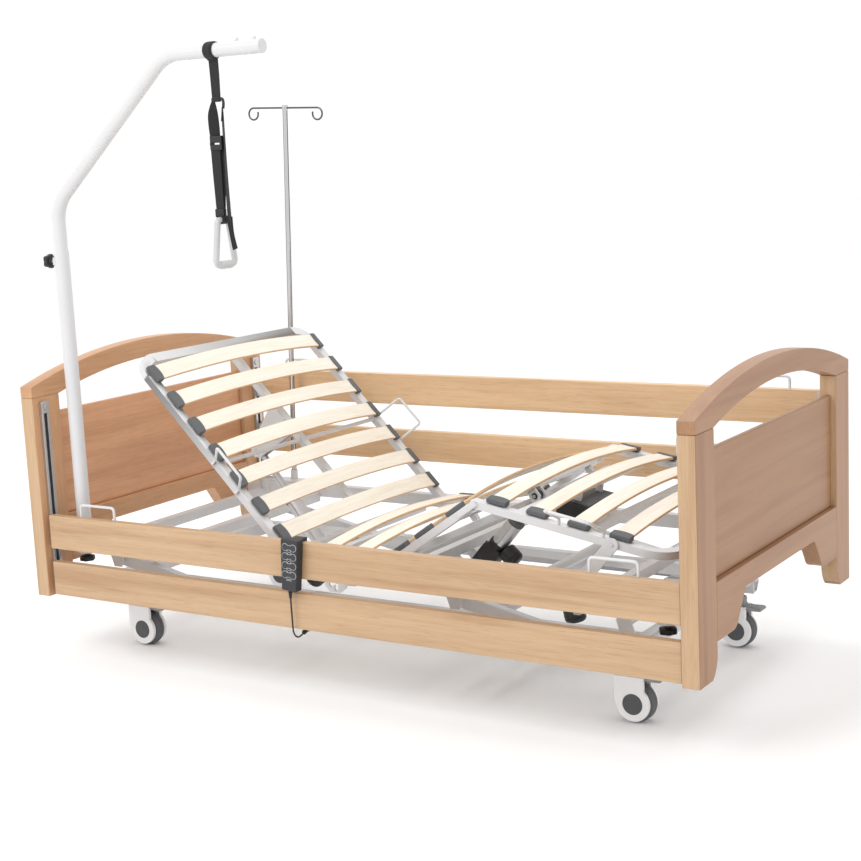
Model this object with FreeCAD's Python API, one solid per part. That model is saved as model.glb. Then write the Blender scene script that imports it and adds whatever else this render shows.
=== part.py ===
"""Adjustable hospital bed: lever lift, four-section slatted platform, wooden boards and rails.

Frame: X along the bed (head -X, foot +X), Y across it (near side -Y), Z up, origin on the
floor at the plan centre. Millimetres. Each function below returns the solids of one node.
"""
import FreeCAD, Part
import math
import os

V = FreeCAD.Vector

# ---- driving dimensions -------------------------------------------------------------------
LENGTH = 2120.0            # over both boards
BOARD_T = 46.0             # board thickness along X
BOARD_HALF_W = 535.0       # half the width of a board
POST_IN = 427.0            # inner edge of a post, from the centre line
POST_Z = (175.0, 770.0)    # foot and top of a post
ARCH_END_Z = 802.0         # outer edge of the arch at its ends
ARCH_MID_Z = 887.0         # outer edge of the arch in the middle
ARCH_IN_MID_Z = 829.0      # inner edge of the arch in the middle
PANEL_Z = (405.0, 717.0)
PANEL_T = 16.0
BOARD_IN_X = LENGTH / 2 - BOARD_T

RAIL_X = (-996.0, 1003.0)
RAIL_H = 100.0
RAIL_Y = (503.0, 528.0)    # inner and outer face
UPPER_RAIL_Z = 322.0       # lower edges with the side lowered
LOWER_RAIL_Z = 182.0
UPPER_TRAVEL = 294.0
LOWER_TRAVEL = 250.0

GUIDE_Y = (481.0, 511.0)
GUIDE_DEPTH = 10.0
GUIDE_Z = (180.0, 722.0)
GUIDE_HEAD_Z = 757.0
BUTTON_Z = 740.0
BUTTON_R = 9.0

SIDE_Y = (380.0, 410.0)    # side tubes of the platform sections
TUBE_H = 20.0              # their height
SLAT_HALF = 385.0          # half the length of a slat
SLAT_W = 50.0
SLAT_T = 8.0
SLAT_BOW = 27.0
CAP_LEN = 56.0
CAP_Y = (373.0, 402.0)
CAP_N = (12.0, 29.0)       # height of a cap above the tubes' centre line

PIVOT_Z = 340.0            # backrest and thigh hinges
BACK_X = -206.0
THIGH_X = 104.0
THIGH_LEN = 352.0
BACK_REST = 45.7           # degrees above flat, as stored
THIGH_REST = 33.8
CALF_REST = -10.1
BACK_RANGE = (-45.7, 19.3)
BACK_LEN = 735.0           # hinge to the centre line of the end tube
CALF_LEN = 530.0
BACK_SLATS = [68.0 + 100.7 * k for k in range(7)]
THIGH_SLATS = [72.0, 165.0, 284.0]
CALF_SLATS = [58.5 + 116.2 * k for k in range(4)]
SEAT_SLATS = [-106.0, 0.0]
CORNER_R = 60.0

BEAM_Y = (420.0, 450.0)    # long beams of the upper frame
BEAM_Z = (305.0, 345.0)
CROSS_Z = (290.0, 320.0)
CROSS_X = [(-960.0, -930.0), (-735.0, -705.0), (-315.0, -285.0), (89.0, 119.0), (930.0, 960.0)]
LOW_CROSS_X = (685.0, 715.0)         # hung below the beams, clear of the calf links

BASE_Y = (322.0, 352.0)
BASE_Z = (186.0, 226.0)
BASE_X = (-895.0, 845.0)
BASE_CROSS_X = (330.0, 360.0)
ARM_LEN = 500.0
ARM_REST = 12.0
ARM_Z = 170.0
ARM_Y = (374.0, 398.0)
ARM_BASE_X = {"head": -350.0, "foot": 822.0}

WHEEL_R = 51.0
WHEEL_W = 32.0
TRAIL = 25.0
PEDAL_PIVOT = (38.0, 117.0)  # along from the stem, and height
STEM = {"head": -837.0, "foot": 780.0}
CASTOR_Y = 337.0

POLE_X = -940.0
POLE_Y = -440.0
IV_X = -842.0
IV_Y = 463.0
IV_TILT = 2.6

PIN_R = 8.0
FIT = 0.05                 # radial play of a pin in its bore
WALL = 2.0                 # wall of a steel tube

# ---- linkages: each actuator's pivots at rest, and its constant ratios -----------------------
BACK_LUG = (428.8, -146.2)           # lug bolt: along and above the backrest, from its hinge
BACK_MOTOR = (-320.0, 170.0)
LEG_LUG = (284.7, -29.3)
LEG_MOTOR = (150.0, 235.0)
CRANK_PIN = (745.0, 256.0)
CRANK_TUBE = (790.0, 260.0)
LIFT_MOTOR = (392.0, 190.0)
LINK_AT = 395.6                      # link bolt along the calf section
LINK_FOOT = (651.0, 315.0)
BACK_RATIO = (-0.9529, 195.84)       # housing turn per unit of backrest turn, rod mm per radian
LEG_RATIO = (0.9142, 110.51)
LIFT_RATIO = (0.0510, 110.30)
CALF_RATIO = -(THIGH_REST - CALF_REST) / THIGH_REST
LINK_RATIO = 1.5492


# ---- shapes ----------------------------------------------------------------------------------
def block(x, y, z):
    return Part.makeBox(x[1] - x[0], y[1] - y[0], z[1] - z[0], V(x[0], y[0], z[0]))


def span(a, b, side=1):
    """The range from a to b, on one side of the centre line."""
    return (a, b) if side > 0 else (-b, -a)


def rod(start, end, radius):
    start, end = V(*start), V(*end)
    return Part.makeCylinder(radius, (end - start).Length, start, end - start)


def pipe(start, end, radius, wall=WALL):
    return rod(start, end, radius).cut(rod(start, end, radius - wall))


def tube_x(x, y, z, wall=WALL):
    inner = block(x, (y[0] + wall, y[1] - wall), (z[0] + wall, z[1] - wall))
    return block(x, y, z).cut(inner)


def tube_y(x, y, z, wall=WALL):
    inner = block((x[0] + wall, x[1] - wall), y, (z[0] + wall, z[1] - wall))
    return block(x, y, z).cut(inner)


def bore_y(shape, x, z, radius, y=(-600.0, 600.0)):
    return shape.cut(rod((x, y[0], z), (x, y[1], z), radius))


def plate_xz(points, y):
    """A flat plate in an XZ plane, between two Y values."""
    wire = Part.makePolygon([V(px, y[0], pz) for px, pz in points + points[:1]])
    return Part.Face(wire).extrude(V(0, y[1] - y[0], 0))


def turned(shape, x, z, degrees):
    """Turn about +Y: positive takes -X up to +Z."""
    out = shape.copy()
    out.rotate(V(x, 0, z), V(0, 1, 0), degrees)
    return out


def mirrored(shape, normal=(0, 1, 0)):
    return shape.mirror(V(0, 0, 0), V(*normal))


def both_sides(solids):
    return solids + [mirrored(s) for s in solids]


def ring_bend(start, centre, axis, degrees, radius, inner=0.0):
    """A round bar's bend: its section at start, swept about centre."""
    start, centre, axis = V(*start), V(*centre), V(*axis)
    tangent = axis.cross(start - centre)
    disc = Part.Face(Part.Wire(Part.makeCircle(radius, start, tangent)))
    bent = disc.revolve(centre, axis, degrees)
    if inner > 0:
        hole = Part.Face(Part.Wire(Part.makeCircle(inner, start, tangent)))
        bent = bent.cut(hole.revolve(centre, axis, degrees))
    return bent


def bent_bar(points, radius, bends, wall=0.0):
    """Straight bars and their bends along a route, each its own solid, face to face."""
    pts = [V(*p) for p in points]
    solids = []
    start = pts[0]
    for k in range(1, len(pts) - 1):
        before = (pts[k] - pts[k - 1]).normalize()
        after = (pts[k + 1] - pts[k]).normalize()
        turn = before.getAngle(after)
        reach = bends[k - 1] * math.tan(turn / 2)
        enter = pts[k] - before * reach
        leave = pts[k] + after * reach
        axis = before.cross(after).normalize()
        centre = enter + axis.cross(before) * bends[k - 1]
        solids.append(straight(start, enter, radius, wall))
        solids.append(ring_bend(enter, centre, axis, math.degrees(turn), radius,
                                radius - wall if wall else 0.0))
        start = leave
    solids.append(straight(start, pts[-1], radius, wall))
    return solids


def straight(start, end, radius, wall):
    if wall:
        return pipe(tuple(start), tuple(end), radius, wall)
    return rod(tuple(start), tuple(end), radius)


def cord_tube(points, diameter):
    """One tube of straight runs joined by tangent arcs, each as large as its runs allow."""
    pts = [V(*p) for p in points]
    edges = []
    radii = []
    start = pts[0]
    for k in range(1, len(pts) - 1):
        before, after = pts[k] - pts[k - 1], pts[k + 1] - pts[k]
        reach = 0.45 * min(before.Length, after.Length)
        turn = before.getAngle(after)
        radii.append(reach / math.tan(turn / 2))
        before.normalize()
        after.normalize()
        enter, leave = pts[k] - before * reach, pts[k] + after * reach
        inward = (after - before).normalize()
        centre_gap = math.hypot(radii[-1], reach)
        middle = pts[k] + inward * (centre_gap - radii[-1])
        edges.append(Part.LineSegment(start, enter).toShape())
        edges.append(Part.Arc(enter, middle, leave).toShape())
        start = leave
    edges.append(Part.LineSegment(start, pts[-1]).toShape())
    path = Part.Wire(edges)
    profile = Part.Wire(Part.makeCircle(diameter / 2, pts[0], pts[1] - pts[0]))
    tube = path.makePipeShell([profile], True, False)
    true_volume = math.pi * diameter ** 2 / 4 * path.Length
    print("cord length", round(path.Length, 1), "radii", [round(r, 1) for r in radii],
          "volume ratio", round(tube.Volume / true_volume, 4))
    return tube


def write(node, solids):
    shape = Part.makeCompound(solids) if len(solids) > 1 else solids[0]
    shape.exportStep("parts/" + node + ".step")


# ---- linkage positions -----------------------------------------------------------------------
def polar(origin, distance, degrees):
    angle = math.radians(degrees)
    return (origin[0] + distance * math.cos(angle), origin[1] + distance * math.sin(angle))


def swung(point, origin, degrees):
    """Turn a point of the XZ plane about another, counter-clockwise with +X right and +Z up."""
    away = math.hypot(point[0] - origin[0], point[1] - origin[1])
    angle = math.degrees(math.atan2(point[1] - origin[1], point[0] - origin[0]))
    return polar(origin, away, angle + degrees)


def back_point(along, above, angle=BACK_REST):
    return swung((BACK_X - along, PIVOT_Z + above), (BACK_X, PIVOT_Z), -angle)


def thigh_point(along, above, angle=THIGH_REST):
    return swung((THIGH_X + along, PIVOT_Z + above), (THIGH_X, PIVOT_Z), angle)


KNEE = thigh_point(THIGH_LEN, 0)


def calf_point(along, above):
    flat = (KNEE[0] + along, KNEE[1] + above)
    return swung(flat, KNEE, CALF_REST)


def actuator_over_travel(lug, motor, ratio, limits):
    """Length and angle of an actuator at steps of its driver's travel."""
    rest_len = math.hypot(lug[0] - motor[0], lug[1] - motor[1])
    rest_angle = math.degrees(math.atan2(lug[1] - motor[1], lug[0] - motor[0]))
    steps = 8
    for k in range(steps + 1):
        turn = limits[0] + (limits[1] - limits[0]) * k / steps
        yield turn, rest_len + ratio[1] * math.radians(turn), rest_angle + ratio[0] * turn


def lug_slot(hinge, turn_sign, lug, motor, ratio, limits):
    """Where the rod's bolt runs in the driven part, drawn at the part's rest position."""
    path = []
    for turn, length, angle in actuator_over_travel(lug, motor, ratio, limits):
        path.append(swung(polar(motor, length, angle), hinge, -turn_sign * turn))
    return path


def motor_slot(hinge, turn_sign, lug, motor, ratio, limits):
    """Where the housing's pin runs in the fixed bracket, with the rod's bolt held in the lug."""
    path = []
    for turn, length, angle in actuator_over_travel(lug, motor, ratio, limits):
        path.append(polar(swung(lug, hinge, turn_sign * turn), -length, angle))
    return path


def cut_slot(plate, path, radius, y):
    """Open a plate along a path, wide enough for a bolt of that radius and its play."""
    for k, (px, pz) in enumerate(path):
        plate = plate.cut(rod((px, y[0], pz), (px, y[1], pz), radius))
        if k:
            qx, qz = path[k - 1]
            length = math.hypot(px - qx, pz - qz)
            if length > 0.5:
                side = (-(pz - qz) / length * radius, (px - qx) / length * radius)
                quad = [(qx + side[0], qz + side[1]), (px + side[0], pz + side[1]),
                        (px - side[0], pz - side[1]), (qx - side[0], qz - side[1])]
                plate = plate.cut(plate_xz(quad, y))
    return plate


# ---- boards ----------------------------------------------------------------------------------
def yz_plate(edges, x):
    face = Part.Face(Part.Wire(edges))
    return face.extrude(V(x[1] - x[0], 0, 0))


def yz(points, x):
    return [V(x, py, pz) for py, pz in points]


def line(a, b):
    return Part.LineSegment(a, b).toShape()


def arc(a, b, c):
    return Part.Arc(a, b, c).toShape()


def board_post(x):
    foot_r = 77.0
    foot_z = 236.0
    toe = math.sqrt(foot_r ** 2 - (foot_z - POST_Z[0]) ** 2)
    centre_y = POST_IN + foot_r
    half = math.atan2(foot_z - POST_Z[0], toe) / 2
    mid = (centre_y - foot_r * math.cos(half), foot_z - foot_r * math.sin(half))
    p = yz([(BOARD_HALF_W, POST_Z[0]), (BOARD_HALF_W, POST_Z[1]), (POST_IN, POST_Z[1]),
            (POST_IN, foot_z), mid, (centre_y - toe, POST_Z[0])], x[0])
    edges = [line(p[0], p[1]), line(p[1], p[2]), line(p[2], p[3]), arc(p[3], p[4], p[5]),
             line(p[5], p[0])]
    return yz_plate(edges, x)


def board_arch(x):
    p = yz([(-BOARD_HALF_W, ARCH_END_Z), (0, ARCH_MID_Z), (BOARD_HALF_W, ARCH_END_Z),
            (BOARD_HALF_W, POST_Z[1]), (POST_IN, POST_Z[1]), (0, ARCH_IN_MID_Z),
            (-POST_IN, POST_Z[1]), (-BOARD_HALF_W, POST_Z[1])], x[0])
    edges = [arc(p[0], p[1], p[2]), line(p[2], p[3]), line(p[3], p[4]), arc(p[4], p[5], p[6]),
             line(p[6], p[7]), line(p[7], p[0])]
    return yz_plate(edges, x)


def board_lower_rail(x):
    half = [(POST_IN, 261.0), (328.0, 261.0), (306.0, 268.0), (292.0, 285.0), (254.0, 338.0),
            (247.0, 346.0), (236.0, 349.0)]
    right = yz(half, x[0])
    left = yz([(-py, pz) for py, pz in half], x[0])
    top = yz([(-POST_IN, PANEL_Z[0]), (POST_IN, PANEL_Z[0])], x[0])
    edges = [line(top[0], top[1]), line(top[1], right[0]), line(right[0], right[1]),
             arc(right[1], right[2], right[3]), line(right[3], right[4]),
             arc(right[4], right[5], right[6]), line(right[6], left[6]),
             arc(left[6], left[5], left[4]), line(left[4], left[3]),
             arc(left[3], left[2], left[1]), line(left[1], left[0]), line(left[0], top[0])]
    return yz_plate(edges, x)


def board_frame(end):
    x = span(BOARD_IN_X, LENGTH / 2, end)
    post = board_post(x)
    return [post, mirrored(post), board_arch(x), board_lower_rail(x)]


def board_panel(end):
    middle = end * (BOARD_IN_X + BOARD_T / 2)
    x = (middle - PANEL_T / 2, middle + PANEL_T / 2)
    return [block(x, (-POST_IN, POST_IN), PANEL_Z)]


# ---- side rails and their guides -------------------------------------------------------------
def corners():
    for end_name, end in (("head", -1), ("foot", 1)):
        for side_name, side in (("near", -1), ("far", 1)):
            yield end_name, end, side_name, side


def guide(end, side):
    x = span(BOARD_IN_X - GUIDE_DEPTH, BOARD_IN_X, end)
    slot_x = span(BOARD_IN_X - GUIDE_DEPTH, BOARD_IN_X - 3, end)
    channel = block(x, span(*GUIDE_Y, side), GUIDE_Z)
    channel = channel.cut(block(slot_x, span(490.5, 502.5, side), GUIDE_Z))
    head_x = span(BOARD_IN_X - 12, BOARD_IN_X, end)
    head = block(head_x, span(*GUIDE_Y, side), (GUIDE_Z[1], GUIDE_HEAD_Z))
    mouth = end * (BOARD_IN_X - 12)
    bore = rod((mouth, side * 496, BUTTON_Z), (mouth + end * 9, side * 496, BUTTON_Z),
               BUTTON_R + 0.4)
    return [channel, head.cut(bore)]


def release_button(end, side):
    outer = end * (BOARD_IN_X - 15)
    inner = end * (BOARD_IN_X - 8)
    return [rod((outer, side * 496, BUTTON_Z), (inner, side * 496, BUTTON_Z), BUTTON_R)]


def glider(end, side, z):
    z = (z + 6, z + RAIL_H - 6)
    plate = block(span(984, 998, end), span(491.5, RAIL_Y[0], side), z)
    tongue = block(span(998, 1009, end), span(491.5, 501.5, side), z)
    return plate.fuse(tongue).removeSplitter()


def hoop(side, x, rail_top):
    """A wire hand hoop let into the rail's top edge."""
    wire_r = 4.0
    y = side * (RAIL_Y[0] + 6)
    top = rail_top + 36
    route = [(x[0], y, rail_top), (x[0], y, top), (x[1], y, top), (x[1], y, rail_top)]
    return bent_bar(route, wire_r, [11, 11])


def side_rail(side, z, hoops):
    """The rail passes outside the foot guide with a thinner end, and stops short of the head one."""
    board = block(RAIL_X, span(*RAIL_Y, side), (z, z + RAIL_H))
    end = block((RAIL_X[1], RAIL_X[1] + 9), span(GUIDE_Y[1] + 0.5, RAIL_Y[1], side), (z, z + RAIL_H))
    solids = [board.fuse(end).removeSplitter(), glider(-1, side, z), glider(1, side, z)]
    if hoops:
        for x in ((-881.0, -751.0), (771.0, 899.0)):
            solids += hoop(side, x, z + RAIL_H)
    return solids


# ---- base, castors and lift ------------------------------------------------------------------
def base_frame():
    solids = []
    for side in (-1, 1):
        solids.append(tube_x(BASE_X, span(*BASE_Y, side), BASE_Z))
        for stem_x in STEM.values():
            socket = rod((stem_x, side * CASTOR_Y, 138), (stem_x, side * CASTOR_Y, BASE_Z[0]), 20)
            hole = rod((stem_x, side * CASTOR_Y, 138), (stem_x, side * CASTOR_Y, BASE_Z[0]),
                       11 + FIT)
            solids.append(socket.cut(hole))
        for pivot_x in ARM_BASE_X.values():
            plate = block((pivot_x - 22, pivot_x + 22), span(BASE_Y[1], BASE_Y[1] + 6, side),
                          (152, BASE_Z[1]))
            pin = rod((pivot_x, side * (BASE_Y[1] + 6), ARM_Z), (pivot_x, side * 399, ARM_Z), PIN_R)
            solids += [plate, pin]
    inner = (-BASE_Y[0], BASE_Y[0])
    for x in ((BASE_X[0], BASE_X[0] + 30), BASE_CROSS_X, (BASE_X[1] - 30, BASE_X[1])):
        solids.append(tube_y(x, inner, BASE_Z))
    ears = plate_xz([(360, 188), (360, 224), (404, 204), (404, 176), (380, 176)], (31, 37))
    solids += both_sides([ears])
    motor_pin = rod((LIFT_MOTOR[0], -31, LIFT_MOTOR[1]), (LIFT_MOTOR[0], 31, LIFT_MOTOR[1]), 6)
    solids.append(motor_pin)
    return solids


def castor_fork(stem_x, side):
    y = side * CASTOR_Y
    wheel_x = stem_x + TRAIL
    crown = block((stem_x - 28, stem_x + 28), (y - 19, y + 19), (105, 133))
    solids = [crown]
    for way in (-1, 1):
        disc = rod((wheel_x, y + way * 19, WHEEL_R), (wheel_x, y + way * 29, WHEEL_R), 45)
        leg_y = sorted((y + way * 19, y + way * 29))
        leg = block((wheel_x - 50, wheel_x + 30), leg_y, (WHEEL_R, 122))
        solids.append(disc.fuse(leg).removeSplitter())
        solids.append(rod((wheel_x, y + way * 29, WHEEL_R), (wheel_x, y + way * 31, WHEEL_R), 27))
    solids.append(rod((wheel_x, y - 19, WHEEL_R), (wheel_x, y + 19, WHEEL_R), 5))
    pedal_x, pedal_z = stem_x + PEDAL_PIVOT[0], PEDAL_PIVOT[1]
    solids.append(rod((pedal_x, y - 19, pedal_z), (pedal_x, y + 19, pedal_z), 3))
    solids.append(rod((stem_x, y, 133), (stem_x, y, 176), 11))
    return solids


def castor_wheel(stem_x, side):
    y = side * CASTOR_Y
    wheel_x = stem_x + TRAIL
    half = WHEEL_W / 2
    ends = ((wheel_x, y - half, WHEEL_R), (wheel_x, y + half, WHEEL_R))
    tyre = rod(*ends, WHEEL_R).cut(rod(*ends, 38))
    rim = rod(*ends, 38).cut(rod(*ends, 5 + FIT))
    return [tyre, rim]


def brake_pedal(stem_x, side):
    y = side * CASTOR_Y
    neck = block((stem_x + 30, stem_x + 57), (y - 18.5, y + 18.5), (111, 123))
    neck = bore_y(neck, stem_x + PEDAL_PIVOT[0], PEDAL_PIVOT[1], 3 + FIT)
    tread = block((stem_x + 57, stem_x + 100), (y - 22, y + 22), (111, 123))
    lever = block((stem_x + 30, stem_x + 45), (y - 15, y + 15), (123, 148))
    return [neck, tread, lever]


def lift_arm(which):
    """Built lying flat towards -X from its base pivot, then turned up to rest."""
    pivot_x = ARM_BASE_X[which]
    half = 18.0
    arm = tube_x((pivot_x - ARM_LEN - half, pivot_x + half), ARM_Y, (ARM_Z - half, ARM_Z + half), 3)
    arm = bore_y(arm, pivot_x, ARM_Z, PIN_R + FIT)
    arm = bore_y(arm, pivot_x - ARM_LEN, ARM_Z, PIN_R + (0.4 if which == "head" else FIT))
    solids = both_sides([arm])
    cross_x = pivot_x - (470.0 if which == "head" else 440.0)
    solids.append(pipe((cross_x, -ARM_Y[0], ARM_Z), (cross_x, ARM_Y[0], ARM_Z), 15))
    solids = [turned(s, pivot_x, ARM_Z, ARM_REST) for s in solids]
    if which == "foot":
        tube_x0, tube_z0 = CRANK_TUBE
        outline = [(pivot_x - 20, ARM_Z - 4), (pivot_x + 16, ARM_Z - 4), (pivot_x + 16, ARM_Z + 20),
                   (tube_x0 + 20, tube_z0 + 8), (tube_x0 + 8, tube_z0 + 20),
                   (tube_x0 - 8, tube_z0 + 20), (tube_x0 - 20, tube_z0 + 8)]
        cheek = plate_xz(outline, (ARM_Y[0] - 6, ARM_Y[0]))
        solids += both_sides([bore_y(cheek, pivot_x, ARM_Z, PIN_R + 1), lift_crank()])
        end = ARM_Y[0] - 6
        solids.append(pipe((tube_x0, -end, tube_z0), (tube_x0, end, tube_z0), 14, 3))
    return solids


def lift_crank():
    """One lug of the pair on the crank tube; the actuator's bolt runs in its slot."""
    pivot = (ARM_BASE_X["foot"], ARM_Z)
    y = (13.0, 19.0)
    px, pz = CRANK_PIN
    tx, tz = CRANK_TUBE
    outline = [(tx + 18, tz), (tx + 12, tz + 20), (px, pz + 24), (px - 20, pz + 14),
               (px - 24, pz - 4), (px - 14, pz - 24), (px + 4, pz - 26), (tx + 12, tz - 20)]
    plate = bore_y(plate_xz(outline, y), tx, tz, 14)
    path = lug_slot(pivot, -1, CRANK_PIN, LIFT_MOTOR, LIFT_RATIO, (0, 48))
    return cut_slot(plate, path, 5.5, y)


# ---- electric actuators ----------------------------------------------------------------------
def actuator(motor_at, lug_at, tube_len, tube_r, motor, reach, pin_half=0.0, hang=-1):
    """Housing and rod, built along +X from the motor's pivot and turned onto the lug.

    motor is its place along the housing, its radius and its length; reach is how far the rod
    can still come out.
    """
    length = math.hypot(lug_at[0] - motor_at[0], lug_at[1] - motor_at[1])
    angle = math.degrees(math.atan2(lug_at[1] - motor_at[1], lug_at[0] - motor_at[0]))
    x0, z0 = motor_at
    rod_r = 11.0
    motor_x, motor_r, motor_len = x0 + motor[0], motor[1], motor[2]
    gear_end = x0 + max(92, motor[0] - 6)
    eye = block((x0 - 14, x0 + 26), (-29, 29), (z0 - 13, z0 + 13))
    if pin_half:
        eye = bore_y(eye, x0, z0, 6)
    else:
        eye = bore_y(eye, x0, z0, 6 + FIT)
    gear = block((x0 + 26, gear_end), (-29, 29), (z0 - 30, z0 + 30))
    gear = gear.cut(rod((x0 + 50, 0, z0), (gear_end, 0, z0), rod_r + 1.5))
    tube = pipe((gear_end, 0, z0), (x0 + tube_len, 0, z0), tube_r, tube_r - rod_r - 1.5)
    barrel = rod((motor_x, 0, z0 + hang * 30), (motor_x, 0, z0 + hang * (30 + motor_len)), motor_r)
    inner = x0 + tube_len - 12 - reach
    shaft = rod((inner, 0, z0), (x0 + length - 14, 0, z0), rod_r)
    tip = block((x0 + length - 14, x0 + length + 12), (-12, 12), (z0 - 12, z0 + 12))
    bolt = rod((x0 + length, -22, z0), (x0 + length, 22, z0), 5)
    tip = bore_y(tip, x0 + length, z0, 5)
    parts = [eye, gear, tube, barrel]
    if pin_half:
        parts.append(rod((x0, -pin_half, z0), (x0, pin_half, z0), 6))
    housing = [turned(s, x0, z0, -angle) for s in parts]
    moving = [turned(s, x0, z0, -angle) for s in (shaft, tip, bolt)]
    return housing, moving


# ---- upper frame -----------------------------------------------------------------------------
def corner_socket(end, side):
    """A blind tube that takes a pole; the beams end against it."""
    x, y = end * -POLE_X, side * -POLE_Y
    tube = rod((x, y, 296), (x, y, 352), 26)
    return tube.cut(rod((x, y, 306), (x, y, 352), 21.2))


def along_iv(shape):
    return turned(shape, IV_X, 355, IV_TILT)


def upper_frame():
    solids = []
    iv_hole = along_iv(rod((IV_X, IV_Y, 290), (IV_X, IV_Y, 390), 12))
    for side in (-1, 1):
        post_hole = rod((POLE_X, side * -POLE_Y, 290), (POLE_X, side * -POLE_Y, 380), 26)
        post_hole = post_hole.fuse(post_hole.mirror(V(0, 0, 0), V(1, 0, 0)))
        beam = tube_x((-BOARD_IN_X, BOARD_IN_X), span(*BEAM_Y, side), BEAM_Z)
        solids += beam.cut(post_hole).cut(iv_hole).Solids
        for end in (-1, 1):
            solids.append(corner_socket(end, side))
        for x in (BACK_X, THIGH_X):
            solids.append(rod((x, side * 379, PIVOT_Z), (x, side * BEAM_Y[0], PIVOT_Z), PIN_R))
        solids.append(tube_x((BACK_X + 20, THIGH_X - 20), span(*SIDE_Y, side), (330, 350)))
        solids.append(rod((LINK_FOOT[0], side * 411, LINK_FOOT[1]),
                          (LINK_FOOT[0], side * BEAM_Y[0], LINK_FOOT[1]), 5))
        for base_x in ARM_BASE_X.values():
            top_x, top_z = polar((base_x, ARM_Z), ARM_LEN, 180 - ARM_REST)
            plate = plate_xz([(top_x - 30, 345), (top_x + 30, 345), (top_x + 30, 300),
                              (top_x + 14, 255), (top_x - 14, 255), (top_x - 30, 300)],
                             span(BEAM_Y[0] - 6, BEAM_Y[0], side))
            pin = rod((top_x, side * 373, top_z), (top_x, side * (BEAM_Y[0] - 6), top_z), PIN_R)
            solids += [plate, pin]
        tab_y = span(408, 446, side)
        solids.append(block((690, 710), tab_y, (CROSS_Z[0], 298)))
        solids.append(block((690, 710), span(424, 446, side), (298, BEAM_Z[0])))
    inner = (-BEAM_Y[0], BEAM_Y[0])
    for x in CROSS_X:
        cross = tube_y(x, inner, CROSS_Z)
        if abs(x[0]) > 900:
            socket = rod((math.copysign(POLE_X, x[0]), POLE_Y, 290),
                         (math.copysign(POLE_X, x[0]), POLE_Y, 330), 26)
            cross = cross.cut(socket).cut(mirrored(socket))
        solids.append(cross)
    solids.append(tube_y(LOW_CROSS_X, (-408, 408), CROSS_Z))
    for x in ((-176.0, -150.0), (50.0, 76.0)):
        solids.append(tube_y(x, inner, (306, 330)))
    return solids + actuator_brackets() + iv_bracket(iv_hole)


def actuator_brackets():
    back_x, back_z = BACK_MOTOR
    leg_x, leg_z = LEG_MOTOR
    back_ear = plate_xz([(-315, 290), (-285, 290), (-278, 200), (-284, 150), (-306, 134),
                         (-345, 134), (-362, 152), (-362, 190)], (36, 42))
    path = motor_slot((BACK_X, PIVOT_Z), -1, back_point(*BACK_LUG), BACK_MOTOR, BACK_RATIO,
                      BACK_RANGE)
    back_ear = cut_slot(back_ear, path, 6.5, (36, 42))
    leg_ear = plate_xz([(89, 290), (119, 290), (168, 246), (168, 219), (136, 217)], (36, 42))
    leg_pin = rod((leg_x, -36, leg_z), (leg_x, 36, leg_z), 6)
    return both_sides([back_ear, leg_ear]) + [leg_pin]


def iv_bracket(iv_hole):
    tube = rod((IV_X, IV_Y, 300), (IV_X, IV_Y, 380), 12)
    tube = tube.cut(rod((IV_X, IV_Y, 306), (IV_X, IV_Y, 380), 8.1))
    gusset = block((-905, -765), (BEAM_Y[0], 476), (345, 350)).cut(iv_hole)
    return [along_iv(tube), gusset]


def clamp_knobs():
    solids = []
    for end_name, end, side_name, side in corners():
        x, y = end * -POLE_X, side * -POLE_Y
        solids.append(rod((x, y, 286), (x, y, 296), 6))
        solids.append(rod((x, y, 270), (x, y, 286), 23))
    return solids


# ---- slatted sections ------------------------------------------------------------------------
def slat(x, z):
    """A bowed slat across the bed, centred on x, its ends at height z."""
    face = []
    for lift in (0.0, SLAT_T):
        a = V(x - SLAT_W / 2, -SLAT_HALF, z + lift)
        b = V(x - SLAT_W / 2, 0, z + lift + SLAT_BOW)
        c = V(x - SLAT_W / 2, SLAT_HALF, z + lift)
        face.append((a, b, c))
    low, high = face
    wire = Part.Wire([arc(*low), line(low[2], high[2]), arc(high[2], high[1], high[0]),
                      line(high[0], low[0])])
    return Part.Face(wire).extrude(V(SLAT_W, 0, 0))


def slats_and_caps(xs):
    slats, caps = [], []
    for x in xs:
        bent = slat(x, PIVOT_Z + 16)
        slats.append(bent)
        for side in (-1, 1):
            cap = block((x - CAP_LEN / 2, x + CAP_LEN / 2), span(*CAP_Y, side),
                        (PIVOT_Z + CAP_N[0], PIVOT_Z + CAP_N[1]))
            foot = block((x - 12, x + 12), span(384, 396, side),
                         (PIVOT_Z + TUBE_H / 2, PIVOT_Z + CAP_N[0]))
            caps.append(cap.cut(bent).fuse(foot).removeSplitter())
    return slats, caps


def side_tube(x, hinge_x):
    """One side tube of a hinged section, bored for its hinge pin."""
    tube = tube_x(x, SIDE_Y, (PIVOT_Z - TUBE_H / 2, PIVOT_Z + TUBE_H / 2))
    return bore_y(tube, hinge_x, PIVOT_Z, PIN_R + FIT)


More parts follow.
